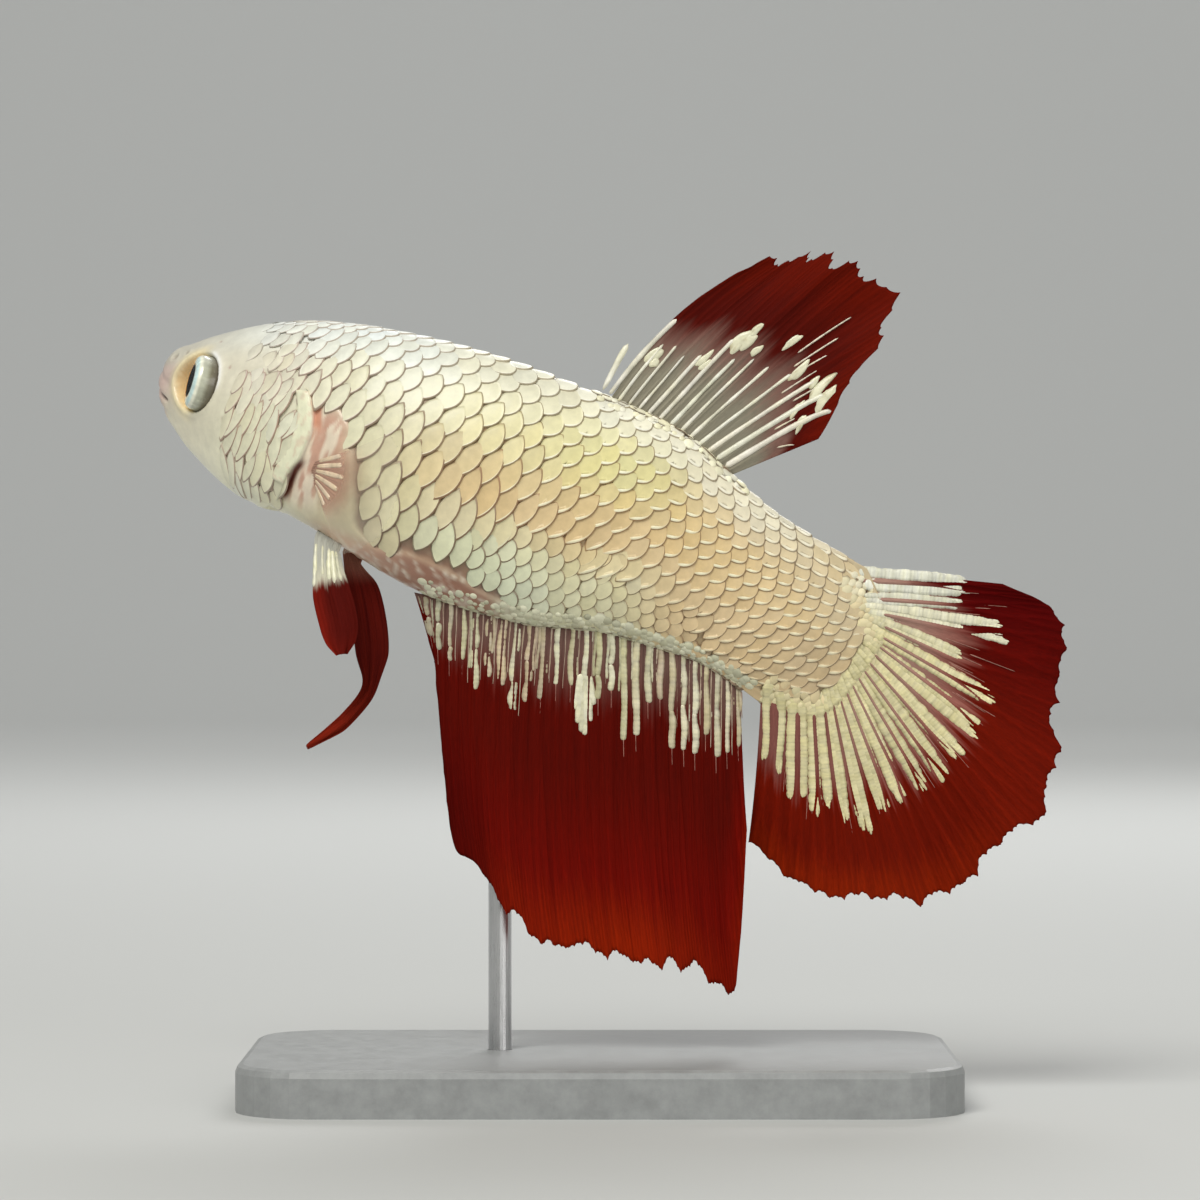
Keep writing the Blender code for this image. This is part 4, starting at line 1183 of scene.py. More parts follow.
def pectoral_point(side):
    """Places in a pectoral fin, which stands out behind the gill cover."""
    def point(u, v):
        along = PECTORAL_STATION * BODY_LENGTH + 0 * u
        tailward, up, leftward = directions(along / BODY_LENGTH)
        outward = leftward * side
        flare = math.radians(PECTORAL_FLARE)
        away = tailward * math.cos(flare) + outward * math.sin(flare)
        height = PECTORAL_HEIGHT + (0.5 - u) * PECTORAL_ROOT
        angle = np.degrees(np.arccos(height / -section(along, 180.0)[1]))
        root = posed(along, side * (section(along, angle)[0] + 0.1), height)
        spot = ray_point(root, away, -up, PECTORAL_RAYS, u, v, ragged(u, 21, 24, 0.03, 0.02))
        return spot + outward * (0.35 * np.sin(5 * u) * v**2)[..., None]

    return point


def line_point(line, v):
    """The place and heading at share v of a curved line of (along, height) points."""
    rows = [(k / (len(line) - 1), *point) for k, point in enumerate(line)]
    here, ahead, behind = (
        np.stack((smooth(rows, 1, at), smooth(rows, 2, at)), -1)
        for at in (v, np.minimum(v + 0.02, 1), np.maximum(v - 0.02, 0))
    )
    return here, unit(ahead - behind)


def ventral_point(blade, side):
    """Places in a ventral fin, a narrow blade along its curved line."""
    def point(u, v):
        v_in = np.maximum(v, 0)
        middle, heading = line_point(blade["line"], v_in)
        square = np.minimum(v_in * 5, 1.0)[..., None]
        normal = np.stack((-heading[..., 1], heading[..., 0]), -1)
        across = unit(np.array([1.0, 0.0]) * (1 - square) + normal * square)
        place = middle + across * ((u - 0.5) * smooth(blade["widths"], 1, v_in))[..., None]
        along = blade["station"] * BODY_LENGTH + place[..., 0]
        angle = 180 - np.degrees(np.arcsin(VENTRAL_OUT / section(along, 90.0)[0]))
        left, height = section(along, angle)
        out = side * (left + blade["spread"] * v_in) + 0.12 * np.sin(9 * u + 4 * v_in) * v_in
        return posed(along, out, height - VENTRAL_DROP + place[..., 1] - 6.0 * np.minimum(v, 0))

    return point


def branching(u, v, rays):
    """1 on a ray and 0 between two, where each ray splits into two and then four."""
    d = np.abs((u * rays) % 1 - 0.5)
    d = np.abs(d - 0.25 * ramp(v, 0.34, 0.62))
    d = np.abs(d - 0.125 * ramp(v, 0.66, 0.88))
    return hill(d, 0, 0.13 - 0.075 * ramp(v, 0.3, 0.9))


def make_fin(name, point, grid, rays, colour, material, slot, inset, thick):
    """A fin as one closed sheet with raised rays, in place of the solid of the same name.

    grid is (columns, rows); the fin starts at the share inset of its length inside the body; thick
    is half the thickness of the sheet at its root and what a ray adds.
    """
    columns, rows = grid
    v1 = np.concatenate(([-inset], np.linspace(0, 1, rows) ** 0.92))
    u, v = np.meshgrid(np.linspace(0, 1, columns), v1, indexing="ij")
    middle = point(u, v)
    normal = normals_of(middle)
    ridge = branching(u, v, rays)
    half = thick[0] * (1 - 0.5 * v) + thick[1] * ridge * (1 - 0.72 * ramp(v, 0.0, 1.0))
    half = half * (1 - ramp(v, 0.97, 1.0) * 0.7)
    half = half * (1 - 0.8 * hill(u, 0, 0.003)) * (1 - 0.8 * hill(u, 1, 0.003))
    pleat = 0.05 * np.sin(np.pi * u * rays + 1.3) * ramp(v, 0.2, 0.9)
    middle = middle + normal * pleat[..., None]
    left, right = middle - normal * half[..., None], middle + normal * half[..., None]
    tint = colour(u, np.maximum(v, 0), ridge)
    uv_left, uv_right = (np.stack((at + 0.46 * u, v * 0.95 + 0.04), -1) for at in (0.02, 0.52))
    uv = np.concatenate((uv_left, uv_right[:, ::-1], uv_left[:, :1]), 1)
    maker = Maker()
    rings, tints = (np.concatenate((a, b[:, ::-1]), 1) for a, b in ((left, right), (tint, tint)))
    loft(maker, rings, tints, uv)
    return maker.piece(name + "_web", material, slot, (name,))


def dorsal_colour(u, v, ridge):
    """Greyish clear at its root and red beyond."""
    noise = streaks(u, v, 31, 60)
    v = v + 0.05 * noise + 0.03 * np.sin(23 * u)
    membrane = mixed((0.24, 0.22, 0.165), (0.19, 0.10, 0.08), ramp(v, 0.15, 0.42))
    red = mixed((0.072, 0.004, 0.002), (0.110, 0.005, 0.001), ramp(v, 0.55, 1.0))
    later = ramp(u, 0.6, 1.0)
    tint = mixed(membrane, red, ramp(v, 0.34 + 0.1 * later, 0.55 + 0.05 * later))
    return tint * (1 + 0.18 * noise + 0.15 * ridge)[..., None]


def anal_colour(u, v, ridge):
    """Brownish at its root, deep red beyond, lighter at the margin."""
    noise = streaks(u, v, 33, 130)
    body = mixed((0.155, 0.085, 0.070), (0.092, 0.003, 0.001), ramp(v, 0.02, 0.24 + 0.06 * noise))
    body = mixed(body, (0.135, 0.003, 0.001), ramp(v, 0.35, 0.75))
    lit = ramp(v + 0.05 * noise, 0.72, 1.0) * (0.25 + 0.75 * hill(u, 0.55, 0.25)) * ramp(u, 0.10, 0.28)
    body = mixed(body, (0.255, 0.014, 0.001), 0.85 * lit)
    shade = 1 - 0.52 * hill(u, 0.06, 0.16) * ramp(v, 0.3, 0.8)
    return body * (shade * (1 + 0.22 * noise + 0.18 * ridge * ramp(v, 0.3, 0.8)))[..., None]


def caudal_colour(u, v, ridge):
    """Mauve between the pearly rays and red beyond them."""
    noise = streaks(u, v, 35, 110)
    mauve = mixed((0.34, 0.20, 0.16), (0.26, 0.10, 0.08), ramp(v, 0.1, 0.4))
    mauve = mixed(mauve, (0.20, 0.075, 0.062), ramp(u, 0.6, 0.85))
    red = mixed((0.083, 0.001, 0.001), (0.137, 0.006, 0.001), ramp(u, 0.05, 0.35))
    red = mixed(red, (0.225, 0.014, 0.001), 0.8 * ramp(v + 0.06 * noise, 0.72, 1.0) * ramp(u, 0.3, 0.7))
    reach = 0.40 + 0.10 * hill(u, 0.4, 0.3) + 0.14 * noise
    tint = mixed(mauve, red, ramp(v, reach - 0.16, reach + 0.06))
    return tint * (1 + 0.20 * noise + 0.14 * ridge)[..., None]


def streaks(u, v, seed, count):
    """Uneven lines along the rays, -1 to 1."""
    draw = np.random.default_rng(seed)
    total = 0
    for share, lines in ((0.6, count), (0.4, count * 3)):
        values = draw.uniform(-1, 1, (lines + 2, 6))
        a, b = np.clip(u, 0, 1) * lines, np.clip(v, 0, 1) * 4
        i, j = a.astype(int), b.astype(int)
        here, beyond = (blend(values[i, k], values[i + 1, k], a - i) for k in (j, j + 1))
        total = total + share * blend(here, beyond, b - j)
    return total


# --- pearly plates along the rays ---
def ray_length(point, u):
    """The length in millimetres of a fin's ray at u."""
    root, tip = point(np.array([u, u]), np.array([0.0, 1.0]))
    return float(np.linalg.norm(tip - root))


def point_frame(point, u, v):
    """The direction out along a fin at (u, v), and the fin's normal."""
    sideways = point(u + 1e-3, v) - point(u - 1e-3, v)
    forward = unit(point(u, v + 1e-3) - point(u, v - 1e-3))
    return forward, unit(np.cross(sideways, forward))


CREAM = (0.74, 0.70, 0.48)
PEARL = (0.84, 0.84, 0.74)
STRAND_SIDES = 8


class Strands:
    """Flattened, jointed rods along a fin, gathered and then made as one piece."""

    def __init__(self, point, **usual):
        self.point, self.rods = point, []
        self.usual = {"high": 0.13, "joint": 0.26, "tone": CREAM, "knots": 0.14, "side": 0, "wave": 0.0}
        self.usual.update(usual)

    def add(self, u0, v0, u1, v1, width, **special):
        """A rod from (u0, v0) to (u1, v1); width is (root, tip).

        side is the face it lies on, or 0 for the fin's middle; joint is the length of one joint and
        knots how much they bulge; wave bends the rod.
        """
        self.rods.append(((u0, u1), (v0, v1), width, {**self.usual, **special}))

    def piece(self, name, material):
        maker = Maker()
        for number, rod in enumerate(self.rods):
            self.add_rod(maker, number, *rod)
        return maker.piece(name, material, "fin_clear")

    def add_rod(self, maker, number, us, vs, width, rod):
        ends = self.point(np.array(us), np.array(vs))
        length = float(np.linalg.norm(ends[1] - ends[0]))
        joints = max(int(round(length / rod["joint"])), 2)
        f = np.linspace(0, 1, joints * 3 + 1)
        u = us[0] + (us[1] - us[0]) * f + rod["wave"] * np.sin(f * 7 + number) / 100
        v = vs[0] + (vs[1] - vs[0]) * f
        middle = self.point(u, v)
        forward, normal = point_frame(self.point, u, v)
        if rod["side"]:
            leftward = directions(np.array(1.0))[2]
            normal = normal * np.sign(normal @ leftward)[:, None] * rod["side"]
            s, angle, over = surface_of(middle)
            left, height = section(s, angle)
            left = left * tail_taper(s, height) * (over < 0.3) * (1 - ramp(over, 0.0, 0.3)) + 0.02
            middle = middle + leftward * rod["side"] * left[:, None]
        across = np.cross(forward, normal)
        swell = np.abs(np.sin(np.pi * f * joints)) ** 0.6
        blunt = np.sqrt(np.clip(1 - np.abs(2 * f - 1) ** max(length / 0.28, 3), 0, 1))
        uneven = np.interp(f * joints, np.arange(joints + 1), rng.normal(0, 1, joints + 1))
        knots = rod["knots"]
        half = 0.5 * (width[0] + (width[1] - width[0]) * np.minimum(f / 0.45, 1) ** 0.8)
        half = np.maximum(half * (1 - knots + knots * swell + 0.07 * uneven) * blunt, 0.008)
        tall = np.maximum(rod["high"] * (1 - 1.6 * knots + 1.6 * knots * swell) * blunt, 0.008)
        turn = np.radians((np.arange(STRAND_SIDES) + 0.5) * 360 / STRAND_SIDES)
        ring = (
            middle[:, None, :] + across[:, None, :] * (half[:, None] * np.cos(turn))[..., None]
            + normal[:, None, :] * (tall[:, None] * np.sin(turn))[..., None]
        )
        # painted shade in the notch at each joint, with uneven tone along the rod
        shade = 1 - 2.6 * min(knots, 0.04) * (1 - swell) + 0.08 * uneven
        green = np.interp(f * joints, np.arange(joints + 1), rng.random(joints + 1))
        tone = np.asarray(rod["tone"])
        tints = mixed(tone, tone * (0.93, 0.92, 0.80), green) * shade[:, None]
        # painted shade on the rod's narrow sides
        tints = tints[:, None, :] * (0.78 + 0.22 * np.abs(np.sin(turn)))[None, :, None]
        tints = tints * (1 + 0.9 * min(knots, 0.06) * rng.normal(0, 1, tints.shape[:2])[..., None])
        count = len(self.rods)
        places = np.linspace(number / count, (number + 0.86) / count, STRAND_SIDES + 1)
        loft(maker, ring, tints, np.stack(np.meshgrid(places, 0.02 + 0.96 * f), -1))


# place along the root, length in mm, width at the tip, spread of the forked tips
CAUDAL_BARS = (
    (0.004, 6.2, 0.50, 0.0), (0.040, 5.6, 0.62, 0.0), (0.080, 4.9, 0.70, 0.0), (0.125, 7.4, 1.00, 0.30),
    (0.180, 4.8, 0.80, 0.0), (0.245, 7.7, 0.95, 0.10), (0.325, 8.1, 1.15, 0.35), (0.400, 7.8, 0.95, 0.15),
    (0.465, 7.9, 0.95, 0.12), (0.530, 7.8, 0.92, 0.15), (0.595, 7.6, 0.90, 0.12), (0.660, 7.5, 1.00, 0.25),
    (0.725, 7.6, 0.98, 0.25), (0.785, 6.7, 0.80, 0.12), (0.832, 5.4, 0.45, 0.0), (0.868, 6.2, 0.55, 0.0),
    (0.902, 4.9, 0.42, 0.0), (0.932, 5.3, 0.45, 0.0), (0.960, 3.9, 0.40, 0.0), (0.988, 3.3, 0.36, 0.0)
)


def make_caudal_bars(material):
    """Pearly plates along the tail fin's rays, on both faces; wide ones are split and forked."""
    usual = {"joint": 0.24, "knots": 0.05}
    for side in (1, -1):
        strands = Strands(caudal_point, side=side, **usual)
        for bar in CAUDAL_BARS:
            add_caudal_bar(strands, *bar)
        # loose thin ray tips that run on into the red
        for _ in range(40):
            u = rng.uniform(0.04, 0.97)
            start = rng.uniform(0.25, 0.45)
            end = u + rng.normal(0, 0.003)
            tip = start + rng.uniform(1.2, 3.2) / ray_length(caudal_point, u)
            look = {"high": 0.06, "joint": 0.5, "tone": (0.42, 0.20, 0.16), "knots": 0.1}
            strands.add(u, start, end, tip, (0.10, 0.05), **look)
        strands.piece(f"caudal_fin_plates_{word_of(side)}", material)


def add_caudal_bar(strands, u, length, width, fork):
    """One ray's plates with their frayed ends; length and width are in millimetres."""
    whole = ray_length(caudal_point, u)
    tip = length / whole
    root = -(1.5 - 0.7 * (1 - float(ramp(u, 0.02, 0.15)))) / whole
    tone = mixed(PEARL, (0.74, 0.67, 0.38), float(ramp(u, 0.03, 0.25)) * 0.95)
    tone = tone * (1 + 0.04 * rng.normal())
    pairs = 1 if width < 0.65 else 2
    part = width / pairs
    gap = 0.0118  # of the root for half a millimetre at the tip
    for k in range(pairs):
        way = k - (pairs - 1) / 2
        off = way * part * 1.4
        short = 1 - 0.06 * rng.random()
        end = u + off * gap * 2.1
        far = tip * short * (0.93 if fork else 1)
        strands.add(
            u + off * 0.040, root, end, far, (0.84 / pairs, part * 1.55), high=0.075, tone=tone, wave=0.16
        )
        # its end is frayed
        for spike in (-1, 0, 1):
            where = end + (spike * 0.30 + 0.05 * rng.normal()) * part * gap * 2.1
            reach = tip * (short + rng.uniform(-0.03, 0.06))
            look = {"high": 0.07, "tone": tone * 1.08, "wave": 0.05}
            strands.add(where, tip * 0.74, where, reach, (0.30 * part, 0.20), **look)
        if fork:
            branch = end + way * 2 * fork * 0.020
            reach = tip * (short + 0.04 * rng.random())
            strands.add(
                u + off * gap * 1.7, tip * 0.66, branch, reach, (part * 0.8, part * 0.95), high=0.07,
                tone=tone * 1.06
            )


# lengths in mm of the plates along the anal fin's rays, front to back
ANAL_BARS = (2.2, 2.9, 3.4, 3.1, 4.7, 3.7, 4.0, 5.2, 4.6, 4.3, 3.3, 3.3, 3.5, 4.0, 3.3)
ANAL_BARS += (6.2, 5.6, 3.4, 2.9, 5.8, 5.6, 5.6, 4.0, 5.0, 4.4, 3.6)
LONG_BAR = 12  # runs out into a pearly brush


def make_anal_bars(material):
    """Pearly plates along the anal fin's rays, with thinner rods between them."""
    strands = Strands(anal_point, joint=0.34, knots=0.05, wave=0.3)
    for k, length in enumerate(ANAL_BARS):
        u = 0.030 + 0.955 * k / (len(ANAL_BARS) - 1)
        whole = ray_length(anal_point, u)
        tip = length / whole
        tone = mixed((0.54, 0.51, 0.31), (0.76, 0.74, 0.57), rng.random())
        tone = mixed(tone, (0.56, 0.38, 0.28), 0.6 * rng.random() ** 2) * (1 - 0.35 * hill(k, 0, 2.2))
        wide = 0.38 + 0.17 * rng.random()
        start = -0.035
        if rng.random() < 0.30:
            cut = tip * rng.uniform(0.35, 0.75)
            strands.add(u, start, u, cut, (0.42, wide), tone=tone)
            start = cut * 0.93
        shaded = tone * (1 + 0.06 * rng.normal())
        strands.add(u, start, u + 0.002, tip, (wide * 0.9, wide * 1.1), tone=shaded)
        # a second, shorter rod beside most of them
        if rng.random() < 0.75:
            aside = u + rng.choice((-1, 1)) * 0.0135
            look = {"high": 0.10, "joint": 0.36, "tone": tone * 0.85, "knots": 0.08, "wave": 0.2}
            strands.add(aside, -0.03, aside, tip * rng.uniform(0.35, 0.85), (0.26, 0.24), **look)
        for way in (-0.019, 0.019):
            pink = mixed((0.36, 0.24, 0.19), (0.50, 0.40, 0.30), rng.random())
            look = {"high": 0.07, "joint": 0.5, "tone": pink, "knots": 0.03, "wave": 0.1}
            strands.add(u + way, -0.03, u + way, tip * rng.uniform(0.5, 1.1), (0.16, 0.07), **look)
        # its tip runs out thin and pink
        look = {"high": 0.08, "joint": 0.5, "tone": (0.45, 0.20, 0.16), "knots": 0.1, "wave": 0.0}
        strands.add(u, tip * 0.9, u + 0.001, tip + 1.1 / whole, (0.16, 0.05), **look)
        if k == LONG_BAR:
            look = {"joint": 0.4, "tone": mixed(PEARL, CREAM, 0.6), "knots": 0.03, "wave": 0.0}
            for way, far in (
                (-2.0, 1.40), (-1.2, 1.62), (-0.4, 1.76), (0.4, 1.80), (1.2, 1.55), (1.9, 1.25)
            ):
                strands.add(u + way * 0.006, tip * 0.70, u + way * 0.0135, tip * far, (0.50, 0.50), **look)
    strands.piece("anal_fin_plates", material)


# place along the root, place and share of the ray at the tip, width at root and tip
DORSAL_BARS = (
    (0.006, 0.010, 1.06, 0.26, 0.38), (0.060, 0.100, 0.56, 0.26, 0.36), (0.140, 0.135, 0.33, 0.26, 0.22),
    (0.215, 0.190, 0.36, 0.24, 0.20), (0.290, 0.270, 0.30, 0.22, 0.16), (0.360, 0.345, 0.34, 0.30, 0.28),
    (0.440, 0.420, 0.44, 0.28, 0.30), (0.520, 0.510, 0.38, 0.34, 0.26), (0.595, 0.590, 0.40, 0.30, 0.20),
    (0.665, 0.670, 0.42, 0.32, 0.22), (0.735, 0.750, 0.46, 0.30, 0.24), (0.800, 0.840, 0.60, 0.34, 0.30),
    (0.865, 0.915, 0.78, 0.40, 0.40), (0.930, 0.970, 0.96, 0.42, 0.40)
)
# place along the root, share of the ray, sizes along the root and the ray: pale patches
DORSAL_SPOTS = (
    (0.135, 0.26, 0.034, 0.050), (0.165, 0.22, 0.024, 0.030), (0.375, 0.32, 0.022, 0.055),
    (0.405, 0.28, 0.018, 0.035), (0.455, 0.44, 0.040, 0.065), (0.490, 0.47, 0.036, 0.050),
    (0.475, 0.53, 0.022, 0.045), (0.565, 0.43, 0.022, 0.032), (0.655, 0.57, 0.016, 0.055),
    (0.760, 0.50, 0.022, 0.060), (0.880, 0.66, 0.034, 0.080), (0.930, 0.80, 0.030, 0.090),
    (0.900, 0.52, 0.022, 0.050), (0.840, 0.58, 0.018, 0.040), (0.955, 0.62, 0.020, 0.050)
)


def add_spot(maker, point, u, v, wide, tall, cell, tone=(0.74, 0.72, 0.52), thick=0.13):
    """A pale patch in a fin, standing out on both faces, with an uneven outline."""
    turn = np.linspace(0, 2 * np.pi, 26, endpoint=False)
    edge = 1 + 0.12 * np.sin(3 * turn + 9 * u) + 0.05 * np.sin(5 * turn + 17 * v)
    rows = []
    for share, out in (
        (0.03, 1.0), (0.5, 0.95), (0.85, 0.75), (1.0, 0.0), (0.85, -0.75), (0.5, -0.95), (0.03, -1.0)
    ):
        a = u + wide * share * edge * np.cos(turn)
        b = v + tall * share * edge * np.sin(turn)
        rows.append(point(a, b) + point_frame(point, a, b)[1] * (thick * out))
    rings = np.stack(rows)
    noise = mottle(rings[..., 0] * 2.2, rings[..., 2] * 2.2)
    tints = mixed(tone, np.array(tone) * (0.72, 0.66, 0.55), ramp(noise, 0.1, 0.7))
    cu, cv = np.meshgrid(np.linspace(0, 1, 27), np.linspace(0, 1, len(rows)))
    corner = (0.01 + cell % 8 / 8, 0.51 + 0.12 * (cell // 8))
    loft(maker, rings, tints, np.stack((corner[0] + cu * 0.1125, corner[1] + cv * 0.1), -1))


def make_dorsal_bars(material):
    """Pale rods on the dorsal fin's rays, and pearly patches between them."""
    strands = Strands(dorsal_point)
    for u0, u1, v1, root, tip in DORSAL_BARS:
        tone = mixed(PEARL, (0.78, 0.66, 0.60), 0.35 * rng.random())
        strands.add(u0, -0.03, u1, v1, (root, tip), high=0.16, joint=0.8, tone=tone, knots=0.0, wave=0.1)
    for k in range(10):
        u = 0.70 + 0.28 * k / 9
        start = rng.uniform(0.30, 0.55)
        look = {"joint": 0.5, "tone": (0.80, 0.72, 0.60), "knots": 0.15}
        strands.add(u, start, u + 0.012, start + rng.uniform(0.12, 0.3), (0.14, 0.12), **look)
    strands.piece("dorsal_fin_rays", material)
    maker = Maker()
    for cell, spot in enumerate(DORSAL_SPOTS):
        add_spot(maker, dorsal_point, *spot, cell)
    maker.piece("dorsal_fin_spots", material, "fin_clear")


# --- paired fins ---
def make_ventral(side, blade, material, plates):
    """A ventral fin; the left one is pale near its root, with pearly rays."""
    point = ventral_point(blade, side)

    def colour(u, v, ridge):
        noise = streaks(u, v, 41, 24)
        if side > 0:
            pale = mixed((0.46, 0.46, 0.40), (0.58, 0.56, 0.44), ramp(v, 0.15, 0.35))
            lit = hill(u, 0.0, 0.25) + 0.3 * ramp(v, 0.8, 1.0)
            red = mixed((0.082, 0.005, 0.003), (0.17, 0.009, 0.004), lit)
            red = mixed(pale, red, ramp(v + 0.06 * noise, 0.34, 0.46))
        else:
            lit = ramp(v, 0.40, 0.9) + 0.2 * noise
            red = mixed((0.082, 0.005, 0.003), (0.19, 0.014, 0.005), lit)
            red = mixed((0.26, 0.10, 0.07), red, ramp(v, 0.0, 0.14))
        return red * (1 + 0.18 * noise[..., None])

    name = "ventral_fin_" + word_of(side)
    make_fin(name, point, (61, 120), 5, colour, material, "fin_red", 0.08, (0.05, 0.07))
    if side > 0:
        strands = Strands(point, high=0.15, joint=0.8, tone=(0.80, 0.79, 0.62), knots=0.06)
        for u0, u1, v1, root, tip in (
            (0.10, 0.04, 0.42, 0.16, 0.30), (0.34, 0.30, 0.34, 0.14, 0.20), (0.58, 0.50, 0.40, 0.18, 0.34),
            (0.70, 0.66, 0.44, 0.18, 0.36), (0.84, 0.84, 0.42, 0.16, 0.30)
        ):
            strands.add(u0, 0.02, u1, v1, (root, tip))
        strands.piece("ventral_fin_left_rays", plates)


def make_pectoral(side, material, plates):
    """A nearly clear pectoral fin with a few pale rays at its root."""
    name = "pectoral_fin_" + word_of(side)
    point = pectoral_point(side)
    colour = lambda u, v, ridge: mixed((0.58, 0.34, 0.25), (0.74, 0.66, 0.52), ramp(v, 0.3, 0.7))
    obj = make_fin(name, point, (97, 40), 11, colour, material, "fin_clear", 0.10, (0.03, 0.04))
    # how opaque it is: each ring of points runs out on one face and back on the other
    rows = 41
    column = np.arange(len(obj.data.vertices)) % (rows * 2)
    row = np.where(column < rows, column, rows * 2 - 1 - column)
    v = np.maximum(row - 1, 0) / (rows - 2)
    attribute = obj.data.attributes.new("cover", "FLOAT", "POINT")
    attribute.data.foreach_set("value", (0.62 - 0.54 * ramp(v, 0.10, 0.55)).astype(np.float32))
    strands = Strands(point, high=0.07, joint=0.5, tone=(0.80, 0.64, 0.48), knots=0.02)
    for u in (0.06, 0.24, 0.42, 0.60, 0.78, 0.94):
        strands.add(u, -0.06, u, 0.26 + 0.05 * rng.random(), (0.24, 0.36))
    strands.piece(name + "_rays", plates)


# --- eyes ---
BLACK = (0.002, 0.002, 0.002)
PUPIL_RADIUS = 1.12
EYE_WALL = 1.86
EYE_FACE = 0.78


def turned(side, profile, tint_of, around=64):
    """A surface turned round the eye's axis through (radius, out) points."""
    centre, across, up, outward = eye_frame(side)
    turn = np.linspace(0, 2 * np.pi, around, endpoint=False)
    radius, out = (np.array(column)[:, None] + 0 * turn for column in zip(*profile))
    rings = (
        centre + across * (radius * np.cos(turn))[..., None] + up * (radius * np.sin(turn))[..., None]
        + outward * out[..., None]
    )
    tints = tint_of(radius, out, turn + 0 * radius)
    if side < 0:
        rings, tints = rings[:, ::-1], tints[:, ::-1]
    places = (np.linspace(0.02, 0.98, around + 1), np.linspace(0.02, 0.98, len(profile)))
    v, u = np.meshgrid(*places)
    maker = Maker()
    loft(maker, rings, tints, np.stack((u, v), -1))
    return maker


def eye_colour(side):
    """Colour of the eyeball: gold in front, icy behind, darkened with painted shade down its wall into the
    socket, and black in the pupil's hole.
    """

    def tint(radius, out, turn):
        forward = -np.cos(turn) * side  # towards the snout
        drop = EYE_FACE - out  # how far behind the foremost ring
        front_tone = mixed((0.72, 0.33, 0.07), (0.95, 0.78, 0.36), ramp(drop, 0.02, 0.30))
        rear_tone = mixed((0.62, 0.82, 0.80), (0.90, 0.90, 0.74), ramp(drop, 0.10, 0.24))
        rear_tone = mixed(rear_tone, (0.50, 0.51, 0.40), ramp(drop, 0.28, 0.46))
        # painted shade: the wall darkens further down
        rear_tone = mixed(rear_tone, (0.26, 0.25, 0.16), ramp(drop, 0.62, 0.86))
        tone = mixed(front_tone, rear_tone, ramp(forward, 0.30, -0.20))
        fibre = 0.08 * np.sin(turn * 34 + 3 * np.sin(turn * 5)) + 0.05 * np.sin(turn * 71)
        tone = tone * (1 + fibre[..., None])
        tone = mixed(tone, (0.60, 0.61, 0.54), 0.6 * ramp(np.sin(turn), 0.55, 0.95) * ramp(drop, 0.2, 0.4))
        # painted shade where the ball sinks into the socket
        tone = mixed(tone, (0.12, 0.10, 0.07), ramp(-out, 0.05, 0.35))
        return mixed(tone, BLACK, (radius < PUPIL_RADIUS + 0.02) * 1.0)

    return tint


def arc(radius, out, wide, high, start, end, count):
    """Points of a round stretch of an eye's profile, angles in radians from its rim."""
    return [(radius + wide * math.cos(a), out + high * math.sin(a)) for a in np.linspace(start, end, count)]


def make_eye(side, ball, dark, clear):
    """An eyeball with a sunk pupil, the lens in it, and a clear cornea over both."""
    name = "eye_" + word_of(side)
    face, pupil, wall = EYE_FACE, PUPIL_RADIUS, EYE_WALL
    profile = [(wall - 0.5, -1.5), (wall - 0.15, -1.1), (wall, -0.6), (wall + 0.02, -0.2), (wall, 0.1)]
    profile += arc(1.30, face - 0.56, 0.55, 0.55, math.radians(4), math.radians(84), 14)
    profile += [(1.26, face), (pupil + 0.03, face), (pupil, face - 0.05)]
    profile += [(radius, face - 0.12) for radius in (pupil - 0.04, 0.4, 0.02)]
    turned(side, profile, eye_colour(side)).piece(name + "_ball", ball, "eye", (name,))
    low = face - 0.11
    lens = [(pupil * 0.9, low - 0.06), *arc(0, low, pupil * 0.985, 0.20, 0, 1.55, 9)]
    black = lambda radius, out, turn: radius[..., None] * 0 + BLACK
    turned(side, lens, black, 48).piece(name + "_lens", dark, "eye")
    shell = (
        arc(0, face - 0.20, 1.62, 0.50, 0.02, 1.56, 16) + arc(0, face - 0.22, 1.58, 0.49, 1.56, 0.02, 16)
    )
    white = lambda radius, out, turn: radius[..., None] * 0 + (1, 1, 1)
    turned(side, shell, white).piece(name + "_cornea", clear, "eye")


# --- stand, floor, light and camera ---


def dress_stand():
    """The stand keeps its solids and gets better materials."""
    slab = stand_material("stand_slab", (0.30, 0.31, 0.31), (0.35, 0.55), 0.0, 900.0, (1, 1, 1), 0.2)
    steel = stand_material("stand_steel", (0.62, 0.62, 0.63), (0.22, 0.40), 1.0, 1200.0, (8, 8, 0.4), 0.25)
    for name, material in (("stand_base", slab), ("stand_rod", steel)):
        bpy.data.objects[name].material_slots[0].material = material


def make_stage():
    """A pale floor that rises all round into a soft backdrop."""
    around = 96
    turn = np.linspace(0, 2 * np.pi, around, endpoint=False)
    k = np.linspace(0, 1, 40)
    rise = np.maximum(k - 0.5, 0) * math.pi
    radius = np.where(k < 0.5, 60 + k * 1680, 900 + 500 * np.sin(rise))[:, None]
    height = (500 * (1 - np.cos(rise)))[:, None]
    rings = np.stack((radius * np.cos(turn), radius * np.sin(turn), height + 0 * turn), -1)
    points = np.vstack((rings.reshape(-1, 3), [[0, 0, 0]])) * MM
    faces = []
    for i in range(len(k) - 1):
        for n in range(around):
            m = (n + 1) % around
            faces.append(((i + 1) * around + n, (i + 1) * around + m, i * around + m, i * around + n))
    faces += [(len(points) - 1, n, (n + 1) % around) for n in range(around)]
    mesh = bpy.data.meshes.new("floor")
    mesh.from_pydata(points.tolist(), [], faces)
    mesh.shade_smooth()
    floor = bpy.data.objects.new("floor", mesh)
    bpy.context.scene.collection.objects.link(floor)
    pale = (0.55, 0.56, 0.55, 1)
    mesh.materials.append(new_material("floor", Base_Color=pale, Roughness=0.7, Specular_IOR_Level=0.2)[0])


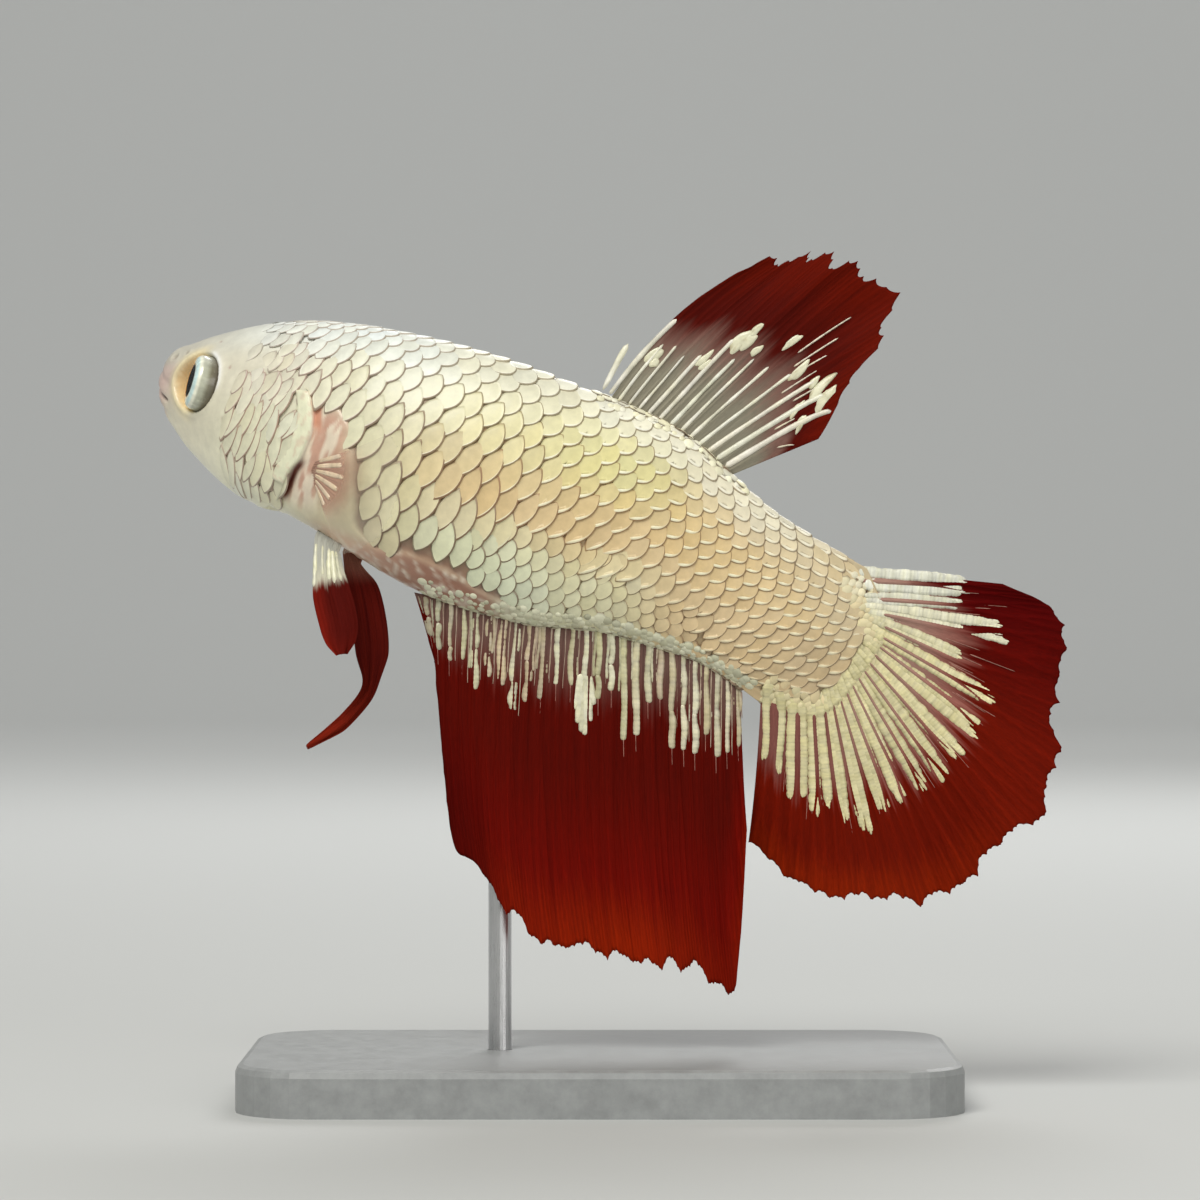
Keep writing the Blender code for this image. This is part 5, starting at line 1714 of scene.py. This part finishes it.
def area_light(name, place, size, power, colour=(1, 1, 1), aim=(0, 0, 0.034)):
    """A round soft light at a place in metres, turned towards its aim."""
    data = bpy.data.lights.new(name, "AREA")
    data.shape = "DISK"
    data.size = size
    data.energy = power
    data.color = colour
    light = bpy.data.objects.new(name, data)
    light.location = place
    light.rotation_euler = (Vector(aim) - Vector(place)).to_track_quat("-Z", "Y").to_euler()
    bpy.context.scene.collection.objects.link(light)


# the camera looks level at the fish's left side: it shows 78 mm of width at 300 mm
CAMERA_DISTANCE = 300.0
CAMERA_HEIGHT = 32.2
PICTURE_WIDTH = 78.0
SENSOR_WIDTH = 36.0


def make_lights_and_camera():
    """Soft studio light, and the camera of the picture."""
    area_light("key", (-0.16, -0.32, 0.46), 0.34, 2.35, (1.0, 0.985, 0.94))
    area_light("fill", (0.30, -0.42, 0.06), 0.44, 0.95, (1.0, 0.99, 0.96))
    area_light("back", (0.10, 0.38, 0.34), 0.30, 0.9)
    area_light("wall", (0.0, 0.50, 0.75), 0.60, 3.6, (1, 1, 1), (0.0, 1.35, 0.15))
    world = bpy.data.worlds.new("world")
    world.use_nodes = True
    background = world.node_tree.nodes["Background"]
    background.inputs["Color"].default_value = (1.0, 0.99, 0.96, 1)
    background.inputs["Strength"].default_value = 0.30
    scene = bpy.context.scene
    scene.world = world
    data = bpy.data.cameras.new("camera")
    data.sensor_width = SENSOR_WIDTH
    data.lens = SENSOR_WIDTH * CAMERA_DISTANCE / PICTURE_WIDTH
    data.clip_start = 0.01
    data.clip_end = 20.0
    camera = bpy.data.objects.new("camera", data)
    camera.location = (0, -CAMERA_DISTANCE * MM, CAMERA_HEIGHT * MM)
    camera.rotation_euler = (math.pi / 2, 0, 0)
    scene.collection.objects.link(camera)
    scene.camera = camera
    scene.view_settings.view_transform = "Standard"


def main():
    wet = {"bump": 0.3, "speckle": 0.07}
    skin = living("skin", (0.30, 0.48), 1400.0, speckle=0.07, bump=0.35, coat=0.35)
    scales = living("scales", (0.34, 0.50), 1800.0, coat=0.12, **wet)
    red = living(
        "fin_red", (0.5, 0.7), speckle=0.16, bump=0.5, coat=0.0, specular=0.03, streaks=(900.0, 22.0)
    )
    plates = living("fin_plates", (0.28, 0.48), 2600.0, speckle=0.10, bump=0.4)
    clear = living(
        "fin_clear", (0.25, 0.4), speckle=0.08, bump=0.3, coat=0.2, streaks=(240.0, 12.0), cover=True
    )
    ball = living("eye_ball", (0.15, 0.3), 2500.0, speckle=0.10, bump=0.2, coat=0.6)
    lens = living("eye_lens", (0.30, 0.40), 900.0, speckle=0.1, bump=0.02, coat=0.0, specular=0.0)
    cornea = glass("eye_cornea", 0.02, 0.06)
    make_skin(skin)
    make_scales(scales)
    make_beads(scales)
    # the dorsal fin's first short rays stand free of its web
    dorsal_web = lambda u, v: dorsal_point(0.085 + 0.915 * u, v)
    for name, point, grid, rays, colour, inset, thick in (
        ("dorsal_fin", dorsal_web, (481, 56), 13, dorsal_colour, 0.06, (0.04, 0.05)),
        ("anal_fin", anal_point, (781, 56), 25, anal_colour, 0.05, (0.045, 0.10)),
        ("caudal_fin", caudal_point, (721, 60), 18, caudal_colour, 0.09, (0.045, 0.10))
    ):
        make_fin(name, point, grid, rays, colour, red, "fin_red", inset, thick)
    make_caudal_bars(plates)
    make_anal_bars(plates)
    make_dorsal_bars(plates)
    make_ventral(1, VENTRAL_LEFT, red, plates)
    make_ventral(-1, VENTRAL_RIGHT, red, plates)
    for side in (1, -1):
        make_pectoral(side, clear, plates)
        make_eye(side, ball, lens, cornea)
    dress_stand()
    make_stage()
    make_lights_and_camera()


main()
